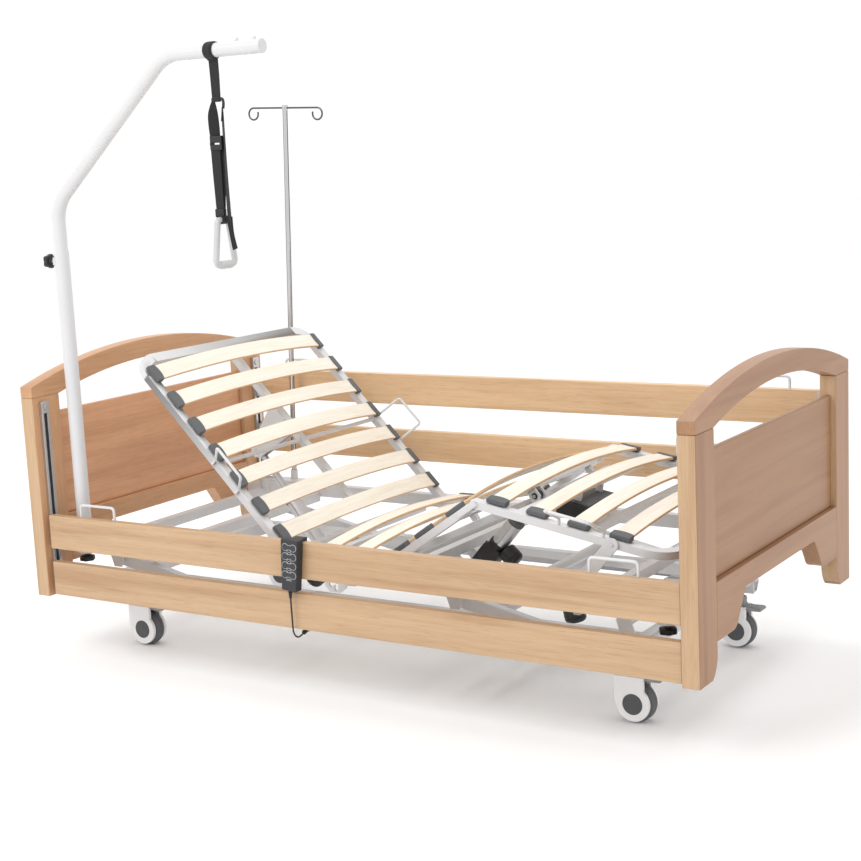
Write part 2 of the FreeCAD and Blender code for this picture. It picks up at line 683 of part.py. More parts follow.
def rounded_end(way, straight_x, end_x):
    """The bent corners and cross tube that close a section's far end."""
    z = (PIVOT_Z - TUBE_H / 2, PIVOT_Z + TUBE_H / 2)
    middle_y = (SIDE_Y[0] + SIDE_Y[1]) / 2
    bend_y = middle_y - CORNER_R
    solids = []
    for wall in (0, WALL):
        section = Part.makePolygon([
            V(straight_x, SIDE_Y[0] + wall, z[0] + wall), V(straight_x, SIDE_Y[1] - wall, z[0] + wall),
            V(straight_x, SIDE_Y[1] - wall, z[1] - wall), V(straight_x, SIDE_Y[0] + wall, z[1] - wall),
            V(straight_x, SIDE_Y[0] + wall, z[0] + wall)])
        solids.append(Part.Face(section).revolve(V(straight_x, bend_y, 0), V(0, 0, 1), -way * 90))
    corner = solids[0].cut(solids[1])
    x = sorted((end_x - 15, end_x + 15))
    return both_sides([corner]) + [tube_y(x, (-bend_y, bend_y), z)]


def retainer(x, lift, lean, way, on_top=False):
    """A wire mattress stop on the outside or the top of a side tube, leaning outwards."""
    wire_r = 4.0
    top_y = SIDE_Y[1] + wire_r + lean
    foot_y = SIDE_Y[1] + (-wire_r if on_top else wire_r)
    z = PIVOT_Z + TUBE_H / 2 if on_top else PIVOT_Z - 4
    knee_z = z + (16 if on_top else 20)
    top_z = PIVOT_Z - 4 + lift
    route = [(x[0], foot_y, z), (x[0], foot_y, knee_z), (x[0] + way, top_y, top_z),
             (x[1] + way, top_y, top_z), (x[1], foot_y, knee_z), (x[1], foot_y, z)]
    return bent_bar(route, wire_r, [12, 10, 10, 12])


def backrest_frame():
    end_x = BACK_X - BACK_LEN
    straight_x = end_x + CORNER_R
    tube = side_tube((straight_x, BACK_X + 12), BACK_X)
    solids = both_sides([tube]) + rounded_end(-1, straight_x, end_x)
    z = (PIVOT_Z - TUBE_H / 2, PIVOT_Z + TUBE_H / 2)
    solids.append(tube_x((end_x + 15, BACK_X - 105), (-12.5, 12.5), z))
    solids.append(tube_y((BACK_X - 105, BACK_X - 80), (-SIDE_Y[0], SIDE_Y[0]), z))
    bar_x = BACK_X - 345
    solids += both_sides([rod((bar_x, 12.5, PIVOT_Z), (bar_x, SIDE_Y[0], PIVOT_Z), 6)])
    solids += both_sides(retainer((BACK_X - 350, BACK_X - 240), 84, 44, 0))
    solids = [turned(s, BACK_X, PIVOT_Z, BACK_REST) for s in solids]
    return solids + both_sides([backrest_lug()])


def backrest_lug():
    y = (12.5, 18.5)
    outline = [(BACK_X - 375, PIVOT_Z + 8), (BACK_X - 490, PIVOT_Z + 8),
               (BACK_X - 452, PIVOT_Z - 150), (BACK_X - 438, PIVOT_Z - 166),
               (BACK_X - 420, PIVOT_Z - 166), (BACK_X - 406, PIVOT_Z - 150)]
    plate = turned(plate_xz(outline, y), BACK_X, PIVOT_Z, BACK_REST)
    bolt = back_point(*BACK_LUG)
    return bore_y(plate, bolt[0], bolt[1], 5 + FIT)


def thigh_frame():
    knee_x = THIGH_X + THIGH_LEN
    tube = side_tube((THIGH_X - 12, knee_x - 16), THIGH_X)
    ear = plate_xz([(knee_x - 60, PIVOT_Z - 9), (knee_x - 60, PIVOT_Z + 9),
                    (knee_x + 10, PIVOT_Z + 9), (knee_x + 10, PIVOT_Z - 9)],
                   (SIDE_Y[1], SIDE_Y[1] + 5))
    pin = rod((knee_x, SIDE_Y[0], PIVOT_Z), (knee_x, SIDE_Y[1], PIVOT_Z), 6)
    solids = both_sides([tube, ear, pin])
    z = (PIVOT_Z - TUBE_H / 2, PIVOT_Z + TUBE_H / 2)
    lug_x = THIGH_X + LEG_LUG[0]
    solids.append(tube_y((lug_x - 15, lug_x + 15), (-SIDE_Y[0], SIDE_Y[0]), z))
    solids.append(tube_y((THIGH_X + 40, THIGH_X + 60), (-SIDE_Y[0], SIDE_Y[0]), z))
    lever = plate_xz([(THIGH_X + 60, PIVOT_Z + 8), (THIGH_X + 60, PIVOT_Z - 10),
                      (knee_x - 11, PIVOT_Z - 57), (knee_x - 8, PIVOT_Z - 38)], (320, 340))
    strut = plate_xz([(lug_x - 9, PIVOT_Z - 10), (lug_x + 9, PIVOT_Z - 10),
                      (lug_x + 9, PIVOT_Z - 29), (lug_x - 9, PIVOT_Z - 26.2)], (322, 338))
    strut = strut.cut(lever)
    solids += both_sides([lever, strut])
    lug_z = PIVOT_Z + LEG_LUG[1]
    lug = plate_xz([(lug_x - 15, z[0]), (lug_x - 18, lug_z - 8), (lug_x - 8, lug_z - 20),
                    (lug_x + 8, lug_z - 20), (lug_x + 18, lug_z - 8), (lug_x + 15, z[0])],
                   (13, 19))
    solids += both_sides([bore_y(lug, lug_x, lug_z, 9.0)])
    return [turned(s, THIGH_X, PIVOT_Z, -THIGH_REST) for s in solids]


def calf_turned(solids):
    """Move what was built flat beyond the knee to its rest place."""
    out = []
    for s in solids:
        s = s.copy()
        s.translate(V(KNEE[0] - THIGH_X - THIGH_LEN, 0, KNEE[1] - PIVOT_Z))
        out.append(turned(s, KNEE[0], KNEE[1], -CALF_REST))
    return out


def calf_frame():
    knee_x = THIGH_X + THIGH_LEN
    end_x = knee_x + CALF_LEN
    straight_x = end_x - CORNER_R
    z = (PIVOT_Z - TUBE_H / 2, PIVOT_Z + TUBE_H / 2)
    tube = tube_x((knee_x - 10, straight_x), SIDE_Y, z)
    tube = bore_y(tube, knee_x, PIVOT_Z, 6 + FIT)
    bolt_x = knee_x + LINK_AT
    bolt = rod((bolt_x, SIDE_Y[1], PIVOT_Z), (bolt_x, SIDE_Y[1] + 9.5, PIVOT_Z), 5)
    solids = both_sides([tube, bolt]) + rounded_end(1, straight_x, end_x)
    inner = (-SIDE_Y[0], SIDE_Y[0])
    for x in ((knee_x + 112, knee_x + 132), (knee_x + 300, knee_x + 320)):
        solids.append(tube_y(x, inner, z))
    for y in ((-60, -50), (66, 76)):
        solids.append(block((knee_x + 112, knee_x + 132), y, (PIVOT_Z - 34, z[0])))
    solids += both_sides(retainer((knee_x + 243, knee_x + 366), 66, 70, -8, True))
    return calf_turned(solids)


def control_box():
    knee_x = THIGH_X + THIGH_LEN
    body = block((knee_x + 72, knee_x + 172), (-82, 98), (PIVOT_Z - 79, PIVOT_Z - 34))
    return calf_turned([body])


def calf_links():
    top = calf_point(LINK_AT, 0)
    dx, dz = top[0] - LINK_FOOT[0], top[1] - LINK_FOOT[1]
    length = math.hypot(dx, dz)
    y = (411.5, 417.0)
    x0, z0 = LINK_FOOT
    bar = block((x0, x0 + length), y, (z0 - 17, z0 + 17))
    bar = bar.fuse(rod((x0, y[0], z0), (x0, y[1], z0), 17))
    bar = bar.fuse(rod((x0 + length, y[0], z0), (x0 + length, y[1], z0), 17)).removeSplitter()
    bar = bore_y(bar, x0, z0, 9.5)
    bar = bore_y(bar, x0 + length, z0, 5 + FIT)
    return both_sides([turned(bar, x0, z0, -math.degrees(math.atan2(dz, dx)))])


# ---- patient aids ----------------------------------------------------------------------------
def lifting_pole_post():
    post = pipe((POLE_X, POLE_Y, 306), (POLE_X, POLE_Y, 1190), 21, 21 - 19 - FIT)
    boss = block((POLE_X - 31, POLE_X - 20), (POLE_Y - 8, POLE_Y + 8), (1151, 1173))
    return [post, boss.cut(rod((POLE_X, POLE_Y, 1140), (POLE_X, POLE_Y, 1190), 21))]


def lifting_pole_arm():
    route = [(POLE_X, POLE_Y, 1090), (POLE_X, POLE_Y, 1323), (-494, POLE_Y, 1714),
             (-163, POLE_Y, 1714)]
    solids = bent_bar(route, 19, [110, 130], WALL)
    for x in (-245, -187):
        solids.append(rod((x, POLE_Y, 1733), (x, POLE_Y, 1741), 5))
    solids.append(rod((-163, POLE_Y, 1714), (-158, POLE_Y, 1714), 19))
    return solids


def lifting_pole_knob():
    stem = rod((POLE_X - 31.4, POLE_Y, 1162), (POLE_X - 40, POLE_Y, 1162), 6)
    knob = rod((POLE_X - 40, POLE_Y, 1162), (POLE_X - 58, POLE_Y, 1162), 21.5)
    return [stem, knob]


STRAP_X = -332.0
HANDLE_TOP_Z = 1270.0


def trapeze_strap():
    """Collar on the tube, webbing with a ring and a buckle, and the loop that holds the grip."""
    def web(half_x, half_y, z):
        return block((STRAP_X - half_x, STRAP_X + half_x), (POLE_Y - half_y, POLE_Y + half_y), z)

    collar = pipe((STRAP_X - 21, POLE_Y, 1714), (STRAP_X + 21, POLE_Y, 1714), 22.4, 3)
    loop = pipe((STRAP_X, POLE_Y - 12.5, HANDLE_TOP_Z), (STRAP_X, POLE_Y + 12.5, HANDLE_TOP_Z),
                12, 2.5)
    tail = plate_xz([(STRAP_X + 12, HANDLE_TOP_Z + 4), (STRAP_X + 14.4, HANDLE_TOP_Z),
                     (STRAP_X + 43, 1191), (STRAP_X + 38.5, 1188), (STRAP_X + 12, 1262)],
                    (POLE_Y - 10, POLE_Y + 10))
    loop_top = HANDLE_TOP_Z + 12
    return [collar, web(12.5, 3, (1592, 1691.7)), web(18, 5, (1580, 1592)),
            web(14, 8, (1492, 1580)), web(19, 8, (1441, 1492)), web(13, 8, (1330, 1441)),
            web(11, 9, (loop_top, 1330)), loop, tail]


def trapeze_handle():
    bar_r = 8.0
    low = 1150.0
    route = [(STRAP_X, POLE_Y, HANDLE_TOP_Z), (STRAP_X, POLE_Y - 22, HANDLE_TOP_Z),
             (STRAP_X, POLE_Y - 41, low), (STRAP_X, POLE_Y - 24, low)]
    half = bent_bar(route, bar_r, [11, 13])
    solids = half + [s.mirror(V(0, POLE_Y, 0), V(0, 1, 0)) for s in half]
    solids.append(rod((STRAP_X, POLE_Y - 24, low), (STRAP_X, POLE_Y + 24, low), 11))
    return solids


def iv_pole():
    mast = pipe((IV_X, IV_Y, 306.4), (IV_X, IV_Y, 1594), 8, 1.5)
    bar_z = 1570.0
    ring_r = 19.0
    wire_r = 3.0
    solids = [mast]
    for way in (-1, 1):
        start = IV_X + way * 8
        centre = IV_X + way * 130
        touch = centre - way * (ring_r + wire_r)
        solids.append(rod((start, IV_Y, bar_z), (touch, IV_Y, bar_z), wire_r))
        solids.append(Part.makeTorus(ring_r, wire_r, V(centre, IV_Y, bar_z), V(0, 1, 0)))
    solids.append(rod((IV_X, IV_Y, 1594), (IV_X, IV_Y, 1598), 8.5))
    return [along_iv(s) for s in solids]


# ---- handset ---------------------------------------------------------------------------------
HANDSET_X = -88.0
HANDSET_Y = (-556.0, -528.0)
HANDSET_Z = (293.0, 434.0)
HANDSET_LEAN = 4.3
HANG_Z = 425.0             # height the handset leans about
KEY_Z = [413.0 - 25.0 * k for k in range(4)]
KEY_REACH = 13.0
KEY_PIN_Y = -553.9
CORD_D = 4.5
CORD_ROUTE = [(-104.5, -542, 270), (-104.5, -542, 250), (-104, -541.5, 222), (-104, -541, 194),
              (-104, -539.5, 174), (-103.5, -529, 159.5), (-103, -513, 155.5), (-102, -499, 162.5)]


def leaned(shape):
    return turned(shape, HANDSET_X, HANG_Z, HANDSET_LEAN)


def waisted(z, y, grow=0.0):
    """A waisted key: a bar with a round lobe at each end."""
    lobe, waist = 9.0 + grow, 5.5 + grow
    bar = block((HANDSET_X - KEY_REACH, HANDSET_X + KEY_REACH), y, (z - waist, z + waist))
    for way in (-1, 1):
        x = HANDSET_X + way * KEY_REACH
        bar = bar.fuse(rod((x, y[0], z), (x, y[1], z), lobe))
    return bar.removeSplitter()


def key_pin(z, half, radius):
    return rod((HANDSET_X, KEY_PIN_Y, z - half), (HANDSET_X, KEY_PIN_Y, z + half), radius)


def handset():
    rail_top = UPPER_RAIL_Z + RAIL_H
    low, high = HANDSET_Z
    body = plate_xz([(HANDSET_X - 24.5, high), (HANDSET_X + 24.5, high), (HANDSET_X + 24, 400),
                     (HANDSET_X + 20.5, low), (HANDSET_X - 20.5, low), (HANDSET_X - 24, 400)],
                    HANDSET_Y)
    hook = block((-106, -70), (HANDSET_Y[1], -498), (rail_top, 431))
    lip = block((-106, -70), (-RAIL_Y[0], -498), (rail_top - 24, rail_top))
    for z in KEY_Z:
        body = body.cut(waisted(z, (HANDSET_Y[0], HANDSET_Y[0] + 4.2), 0.9))
        body = body.cut(key_pin(z, 9, 1.2 + FIT))
    body = leaned(body)
    relief = Part.makeCone(3.2, 6.0, 24, V(-104.5, -542, 270), V(0, 0, 1)).cut(body)
    return [body, hook, lip, relief]


def handset_key(z):
    """A rocker that turns on a small pin across its waist."""
    key = waisted(z, (HANDSET_Y[0] - 1.6, HANDSET_Y[0] + 2.4))
    return [leaned(key.fuse(key_pin(z, 8.6, 1.2)))]


def handset_connector():
    end, before = V(*CORD_ROUTE[-1]), V(*CORD_ROUTE[-2])
    way = (end - before).normalize()
    return rod(tuple(end), tuple(end + way * 26), 4.6)


def connector_clip(connector):
    foot = block((-109, -95), (-RAIL_Y[0], -474), (LOWER_RAIL_Z, LOWER_RAIL_Z + 6))
    drop = block((-109, -95), (-488, -474), (LOWER_RAIL_Z - 20, LOWER_RAIL_Z))
    return foot.fuse(drop).cut(connector).removeSplitter()


# ---- build -----------------------------------------------------------------------------------
def build():
    nodes = {}
    nodes["head_board_frame"] = board_frame(-1)
    nodes["head_board_panel"] = board_panel(-1)
    nodes["foot_board_frame"] = board_frame(1)
    nodes["foot_board_panel"] = board_panel(1)
    nodes["rail_guides"] = []
    for end_name, end, side_name, side in corners():
        nodes["rail_guides"] += guide(end, side)
        nodes["release_button_" + end_name + "_" + side_name] = release_button(end, side)
        corner = end_name + "_" + side_name
        nodes["castor_fork_" + corner] = castor_fork(STEM[end_name], side)
        nodes["castor_wheel_" + corner] = castor_wheel(STEM[end_name], side)
        nodes["brake_pedal_" + corner] = brake_pedal(STEM[end_name], side)
    connector = handset_connector()
    clip = connector_clip(connector)
    nodes["near_upper_rail"] = side_rail(-1, UPPER_RAIL_Z, True)
    nodes["near_lower_rail"] = side_rail(-1, LOWER_RAIL_Z, False) + [clip]
    nodes["far_upper_rail"] = side_rail(1, UPPER_RAIL_Z + UPPER_TRAVEL, True)
    nodes["far_lower_rail"] = side_rail(1, LOWER_RAIL_Z + LOWER_TRAVEL, False)
    nodes["base_frame"] = base_frame()
    nodes["lift_arm_head"] = lift_arm("head")
    nodes["lift_arm_foot"] = lift_arm("foot")
    lift = actuator(LIFT_MOTOR, CRANK_PIN, 300, 20, (59, 31, 45), 93)
    nodes["lift_actuator_housing"], nodes["lift_actuator_rod"] = lift
    back = actuator(BACK_MOTOR, back_point(*BACK_LUG), 290, 24, (59, 31, 75), 67, 45, hang=1)
    nodes["back_actuator_housing"], nodes["back_actuator_rod"] = back
    leg = actuator(LEG_MOTOR, thigh_point(*LEG_LUG), 212, 24, (118, 27, 42), 4)
    nodes["leg_actuator_housing"], nodes["leg_actuator_rod"] = leg
    nodes["upper_frame"] = upper_frame()
    nodes["clamp_knobs"] = clamp_knobs()
    slats, caps = slats_and_caps(SEAT_SLATS)
    nodes["seat_slats"] = slats + caps
    slats, caps = slats_and_caps([BACK_X - s for s in BACK_SLATS])
    nodes["backrest_slats"] = [turned(s, BACK_X, PIVOT_Z, BACK_REST) for s in slats]
    nodes["backrest_slat_caps"] = [turned(s, BACK_X, PIVOT_Z, BACK_REST) for s in caps]
    slats, caps = slats_and_caps([THIGH_X + s for s in THIGH_SLATS])
    nodes["thigh_slats"] = [turned(s, THIGH_X, PIVOT_Z, -THIGH_REST) for s in slats + caps]
    slats, caps = slats_and_caps([THIGH_X + THIGH_LEN + s for s in CALF_SLATS])
    nodes["calf_slats"] = calf_turned(slats)
    nodes["calf_slat_caps"] = calf_turned(caps)
    nodes["backrest_frame"] = backrest_frame()
    nodes["thigh_frame"] = thigh_frame()
    nodes["calf_frame"] = calf_frame()
    nodes["control_box"] = control_box()
    nodes["calf_links"] = calf_links()
    nodes["lifting_pole_post"] = lifting_pole_post()
    nodes["lifting_pole_arm"] = lifting_pole_arm()
    nodes["lifting_pole_knob"] = lifting_pole_knob()
    nodes["trapeze_strap"] = trapeze_strap()
    nodes["trapeze_handle"] = trapeze_handle()
    nodes["iv_pole"] = iv_pole()
    nodes["handset"] = handset()
    for k, z in enumerate(KEY_Z):
        nodes["handset_key_" + str(k + 1)] = handset_key(z)
    nodes["handset_cord"] = [cord_tube(CORD_ROUTE, CORD_D)]
    nodes["handset_connector"] = [connector]
    return nodes


os.makedirs("parts", exist_ok=True)
made = build()
for name, solids in made.items():
    for solid in solids:
        if not solid.isValid() or solid.Volume <= 0:
            print("bad solid in", name, solid.ShapeType, solid.Volume)
    write(name, solids)
print(len(made), "nodes,", sum(len(s) for s in made.values()), "solids")
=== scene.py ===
import math

import bmesh
import bpy
from mathutils import Matrix, Vector


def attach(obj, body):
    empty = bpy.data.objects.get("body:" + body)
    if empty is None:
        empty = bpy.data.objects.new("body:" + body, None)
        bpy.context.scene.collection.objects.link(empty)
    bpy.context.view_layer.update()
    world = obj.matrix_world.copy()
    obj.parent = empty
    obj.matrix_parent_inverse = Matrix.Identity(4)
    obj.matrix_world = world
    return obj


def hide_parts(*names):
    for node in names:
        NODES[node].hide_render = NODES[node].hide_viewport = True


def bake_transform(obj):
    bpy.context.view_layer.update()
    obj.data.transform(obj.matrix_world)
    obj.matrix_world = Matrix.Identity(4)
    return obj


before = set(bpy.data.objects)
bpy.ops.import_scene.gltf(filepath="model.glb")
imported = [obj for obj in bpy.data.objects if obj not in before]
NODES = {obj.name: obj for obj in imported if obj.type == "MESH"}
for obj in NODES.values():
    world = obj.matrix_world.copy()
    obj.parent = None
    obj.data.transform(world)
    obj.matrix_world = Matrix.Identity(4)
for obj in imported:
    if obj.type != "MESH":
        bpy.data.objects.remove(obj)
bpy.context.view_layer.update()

X, Y, Z = 0, 1, 2

# ---- dimensions shared with the CAD model, in millimetres and degrees -------------------------
BOARD_IN, BOARD_OUT = 1014.0, 1060.0
POST_IN, BOARD_HALF = 427.0, 535.0
RAIL_X, RAIL_H = (-996.0, 1003.0), 100.0
RAIL_Y = (503.0, 528.0)
PIVOT_Z = 340.0
BACK_X, BACK_REST = -206.0, 45.7
THIGH_X, THIGH_LEN, THIGH_REST = 104.0, 352.0, 33.8
CALF_REST = -10.1
POLE = (-940.0, -440.0)
IV = (-842.0, 463.0)
IV_TILT = 2.6
STRAP_X = -332.0
GRIP_Z = 1270.0
SLAT_W = 50.0
CAP_LEN, CAP_Y, CAP_N = 56.0, (373.0, 402.0), (12.0, 29.0)
HANDSET_X, HANG_Z, HANDSET_LEAN = -88.0, 425.0, 4.3
KEY_Z = [413.0 - 25.0 * k for k in range(4)]
WHEEL_R, TRAIL, CASTOR_Y = 51.0, 25.0, 337.0
STEM = {"head": -837.0, "foot": 780.0}
CORNERS = [(e, a, s, b) for e, a in (("head", -1), ("foot", 1)) for s, b in (("near", -1), ("far", 1))]


# ---- shapes: (vertices, faces) in millimetres --------------------------------------------------
def box(x, y, z):
    verts = [(i, j, k) for i in x for j in y for k in z]
    faces = [(0, 1, 3, 2), (4, 6, 7, 5), (0, 4, 5, 1), (2, 3, 7, 6), (0, 2, 6, 4), (1, 5, 7, 3)]
    return verts, faces


def prism(outline, axis, lo, hi):
    """A flat outline, in the other two axes in order, drawn out along one axis."""
    verts = []
    for level in (lo, hi):
        for a, b in outline:
            point = [a, b]
            point.insert(axis, level)
            verts.append(tuple(point))
    n = len(outline)
    faces = [tuple(range(n)), tuple(range(2 * n - 1, n - 1, -1))]
    faces += [(i, (i + 1) % n, n + (i + 1) % n, n + i) for i in range(n)]
    return verts, faces


def lathe(profile, origin=(0, 0, 0), axis=(0, 0, 1), count=40):
    """A profile of (along, radius) points turned about an axis."""
    axis = Vector(axis).normalized()
    side = axis.orthogonal().normalized()
    other = axis.cross(side)
    verts, rings = [], []
    for along, radius in profile:
        centre = Vector(origin) + axis * along
        if radius < 1e-6:
            rings.append([len(verts)])
            verts.append(tuple(centre))
            continue
        ring = []
        for k in range(count):
            a = 2 * math.pi * k / count
            ring.append(len(verts))
            verts.append(tuple(centre + (side * math.cos(a) + other * math.sin(a)) * radius))
        rings.append(ring)
    faces = []
    for low, high in zip(rings, rings[1:]):
        for k in range(count):
            j = (k + 1) % count
            if len(low) == 1 and len(high) > 1:
                faces.append((low[0], high[j], high[k]))
            elif len(high) == 1 and len(low) > 1:
                faces.append((low[k], low[j], high[0]))
            elif len(low) > 1:
                faces.append((low[k], low[j], high[j], high[k]))
    for ring, end in ((rings[0], -1), (rings[-1], 1)):
        if len(ring) > 1 and profile[0] != profile[-1]:
            faces.append(tuple(ring[::-end]))
    return verts, faces


def circle(radius, count=16):
    steps = [2 * math.pi * k / count for k in range(count)]
    return [(radius * math.cos(a), radius * math.sin(a)) for a in steps]


def rounded(width, height, radius, steps=4):
    """A rectangle with round corners, centred."""
    out = []
    for cx, cy, turn in ((1, 1, 0), (-1, 1, 90), (-1, -1, 180), (1, -1, 270)):
        for k in range(steps + 1):
            a = math.radians(turn + 90 * k / steps)
            out.append((cx * (width / 2 - radius) + radius * math.cos(a),
                        cy * (height / 2 - radius) + radius * math.sin(a)))
    return out


def arc(centre, radius, start, end, steps):
    cx, cy = centre
    angles = [math.radians(start + (end - start) * k / steps) for k in range(steps + 1)]
    return [(cx + radius * math.cos(a), cy + radius * math.sin(a)) for a in angles]


def three_point(a, b, c, steps):
    """Points of the circular arc from a through b to c."""
    d = 2 * (a[0] * (b[1] - c[1]) + b[0] * (c[1] - a[1]) + c[0] * (a[1] - b[1]))
    sq = [p[0] ** 2 + p[1] ** 2 for p in (a, b, c)]
    ux = (sq[0] * (b[1] - c[1]) + sq[1] * (c[1] - a[1]) + sq[2] * (a[1] - b[1])) / d
    uy = (sq[0] * (c[0] - b[0]) + sq[1] * (a[0] - c[0]) + sq[2] * (b[0] - a[0])) / d
    radius = math.hypot(a[0] - ux, a[1] - uy)
    ta, tb, tc = (math.degrees(math.atan2(p[1] - uy, p[0] - ux)) for p in (a, b, c))
    sweep_out = (tc - ta) % 360
    if (tb - ta) % 360 > sweep_out:
        sweep_out -= 360
    return arc((ux, uy), radius, ta, ta + sweep_out, steps)


def bent(points, radii, step=7.5):
    """A route with its corners turned into arcs."""
    pts = [Vector(p) for p in points]
    out = [pts[0]]
    for k in range(1, len(pts) - 1):
        before = (pts[k] - pts[k - 1]).normalized()
        after = (pts[k + 1] - pts[k]).normalized()
        turn = before.angle(after)
        reach = radii[k - 1] * math.tan(turn / 2)
        enter = pts[k] - before * reach
        axis = before.cross(after).normalized()
        centre = enter + axis.cross(before) * radii[k - 1]
        count = max(2, int(math.degrees(turn) / step))
        for j in range(count + 1):
            out.append(centre + Matrix.Rotation(turn * j / count, 3, axis) @ (enter - centre))
    out.append(pts[-1])
    return out


def sweep(points, section, up=(0, 0, 1), closed=False, scales=None):
    """A section of (side, up) points carried along a route."""
    pts = [Vector(p) for p in points]
    n, m = len(pts), len(section)
    tangents = []
    for k in range(n):
        ahead = pts[(k + 1) % n] if closed or k < n - 1 else pts[k]
        back = pts[k - 1] if closed or k else pts[k]
        tangents.append((ahead - back).normalized())
    up = Vector(up)
    if abs(up.dot(tangents[0])) > 0.95:
        up = tangents[0].orthogonal()
    normal = (up - tangents[0] * up.dot(tangents[0])).normalized()
    verts = []
    for k in range(n):
        if k:
            normal = tangents[k - 1].rotation_difference(tangents[k]) @ normal
            normal = (normal - tangents[k] * normal.dot(tangents[k])).normalized()
        side = tangents[k].cross(normal)
        grow = scales[k] if scales else 1.0
        verts += [tuple(pts[k] + (side * u + normal * v) * grow) for u, v in section]
    faces = []
    for k in range(n if closed else n - 1):
        a, b = k * m, ((k + 1) % n) * m
        faces += [(a + i, a + (i + 1) % m, b + (i + 1) % m, b + i) for i in range(m)]
    if not closed:
        faces += [tuple(range(m - 1, -1, -1)), tuple(range((n - 1) * m, n * m))]
    return verts, faces


def rod(start, end, radius, edge=0.8, count=28):
    """A straight round bar with a small chamfer at each end."""
    start, end = Vector(start), Vector(end)
    length = (end - start).length
    edge = min(edge, radius * 0.4, length * 0.3)
    profile = [(0, 0), (0, radius - edge), (edge, radius), (length - edge, radius),
               (length, radius - edge), (length, 0)]
    return lathe(profile, start, end - start, count)


def hexagon(centre, axis, across, height):
    """A hexagon bolt head with its corners taken off."""
    r = across / math.sqrt(3)
    return lathe([(0, 0), (0, r), (height * 0.8, r), (height, r * 0.86), (height, 0)],
                 centre, axis, 6)


def turn_about(x, z, degrees):
    """Turn about +Y through (x, z): positive takes -X up to +Z."""
    there = Matrix.Translation((x, 0, z))
    return there @ Matrix.Rotation(math.radians(degrees), 4, "Y") @ there.inverted()


def swung(point, origin, degrees):
    a = math.radians(degrees)
    dx, dz = point[0] - origin[0], point[1] - origin[1]
    return (origin[0] + dx * math.cos(a) - dz * math.sin(a),
            origin[1] + dx * math.sin(a) + dz * math.cos(a))


KNEE = swung((THIGH_X + THIGH_LEN, PIVOT_Z), (THIGH_X, PIVOT_Z), THIGH_REST)
AT_BACK = turn_about(BACK_X, PIVOT_Z, BACK_REST)
AT_THIGH = turn_about(THIGH_X, PIVOT_Z, -THIGH_REST)
AT_CALF = (turn_about(*KNEE, -CALF_REST)
           @ Matrix.Translation((KNEE[0] - THIGH_X - THIGH_LEN, 0, KNEE[1] - PIVOT_Z)))
AT_IV = turn_about(IV[0], 355, IV_TILT)
FLAT = Matrix.Identity(4)


# ---- pieces ------------------------------------------------------------------------------------
def round_edges(bm, width, steps, edges=None, angle=32):
    limit = math.radians(angle)
    pool = bm.edges if edges is None else edges
    sharp = [e for e in pool if len(e.link_faces) == 2 and e.calc_face_angle(0) > limit]
    if sharp:
        bmesh.ops.bevel(bm, geom=sharp, offset=width, offset_type="OFFSET", segments=steps,
                        profile=0.5, affect="EDGES", clamp_overlap=True)


def finish_mesh(name, bm, materials):
    mesh = bpy.data.meshes.new(name)
    bm.to_mesh(mesh)
    bm.free()
    mesh.validate()
    for material in materials:
        mesh.materials.append(material)
    mesh.shade_smooth()
    mesh.set_sharp_from_angle(angle=math.radians(38))
    obj = bpy.data.objects.new(name, mesh)
    bpy.context.scene.collection.objects.link(obj)
    weighted = obj.modifiers.new("weighted_normals", "WEIGHTED_NORMAL")
    weighted.keep_sharp = True
    return obj


class Piece:
    """Shapes in millimetres, gathered into one object."""

    def __init__(self, name, *materials):
        self.name = name
        self.materials = materials
        self.bm = bmesh.new()

    def add(self, shape, mat=0, soft=0.0, steps=2, at=None, paint=None):
        verts, faces = shape
        part = bmesh.new()
        made = [part.verts.new(v) for v in verts]
        for face in faces:
            part.faces.new([made[i] for i in face])
        bmesh.ops.recalc_face_normals(part, faces=part.faces)
        if soft:
            round_edges(part, soft, steps)
        for face in part.faces:
            face.material_index = paint(face) if paint else mat
        if at is not None:
            bmesh.ops.transform(part, matrix=at, verts=part.verts)
        held = bpy.data.meshes.new("held")
        part.to_mesh(held)
        part.free()
        self.bm.from_mesh(held)
        bpy.data.meshes.remove(held)
        return self

    def done(self, body, slot, *nodes):
        bmesh.ops.scale(self.bm, vec=(0.001,) * 3, verts=self.bm.verts)
        obj = finish_mesh(self.name, self.bm, self.materials)
        return place(obj, body, slot, *nodes)


def place(obj, body, slot, *nodes):
    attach(obj, body)
    if nodes:
        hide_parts(*nodes)
    return obj


def softened(node, body, slot, width, materials, pick=None, steps=2):
    """The CAD node's own shape with its edges rounded."""
    bm = bmesh.new()
    bm.from_mesh(NODES[node].data)
    bmesh.ops.dissolve_limit(bm, angle_limit=math.radians(0.3), use_dissolve_boundaries=False,
                             verts=bm.verts, edges=bm.edges)
    bmesh.ops.remove_doubles(bm, verts=bm.verts, dist=3e-6)
    seen, inner = {}, []
    for face in bm.faces:
        key = frozenset(v.index for v in face.verts)
        if key in seen:
            inner += [face, seen[key]]
        seen[key] = face
    bmesh.ops.delete(bm, geom=list(set(inner)), context="FACES")
    bmesh.ops.recalc_face_normals(bm, faces=bm.faces)
    left = set(bm.verts)
    groups = []
    while left:
        group, stack = set(), [left.pop()]
        while stack:
            vert = stack.pop()
            group.add(vert)
            for edge in vert.link_edges:
                other = edge.other_vert(vert)
                if other in left:
                    left.discard(other)
                    stack.append(other)
        groups.append({edge for vert in group for edge in vert.link_edges})
    for edges in groups:
        round_edges(bm, width * 0.001, steps, edges)
    if pick:
        for face in bm.faces:
            face.material_index = pick(face.calc_center_median() * 1000, face.normal)
    return place(finish_mesh(node + "_shown", bm, materials), body, slot, node)


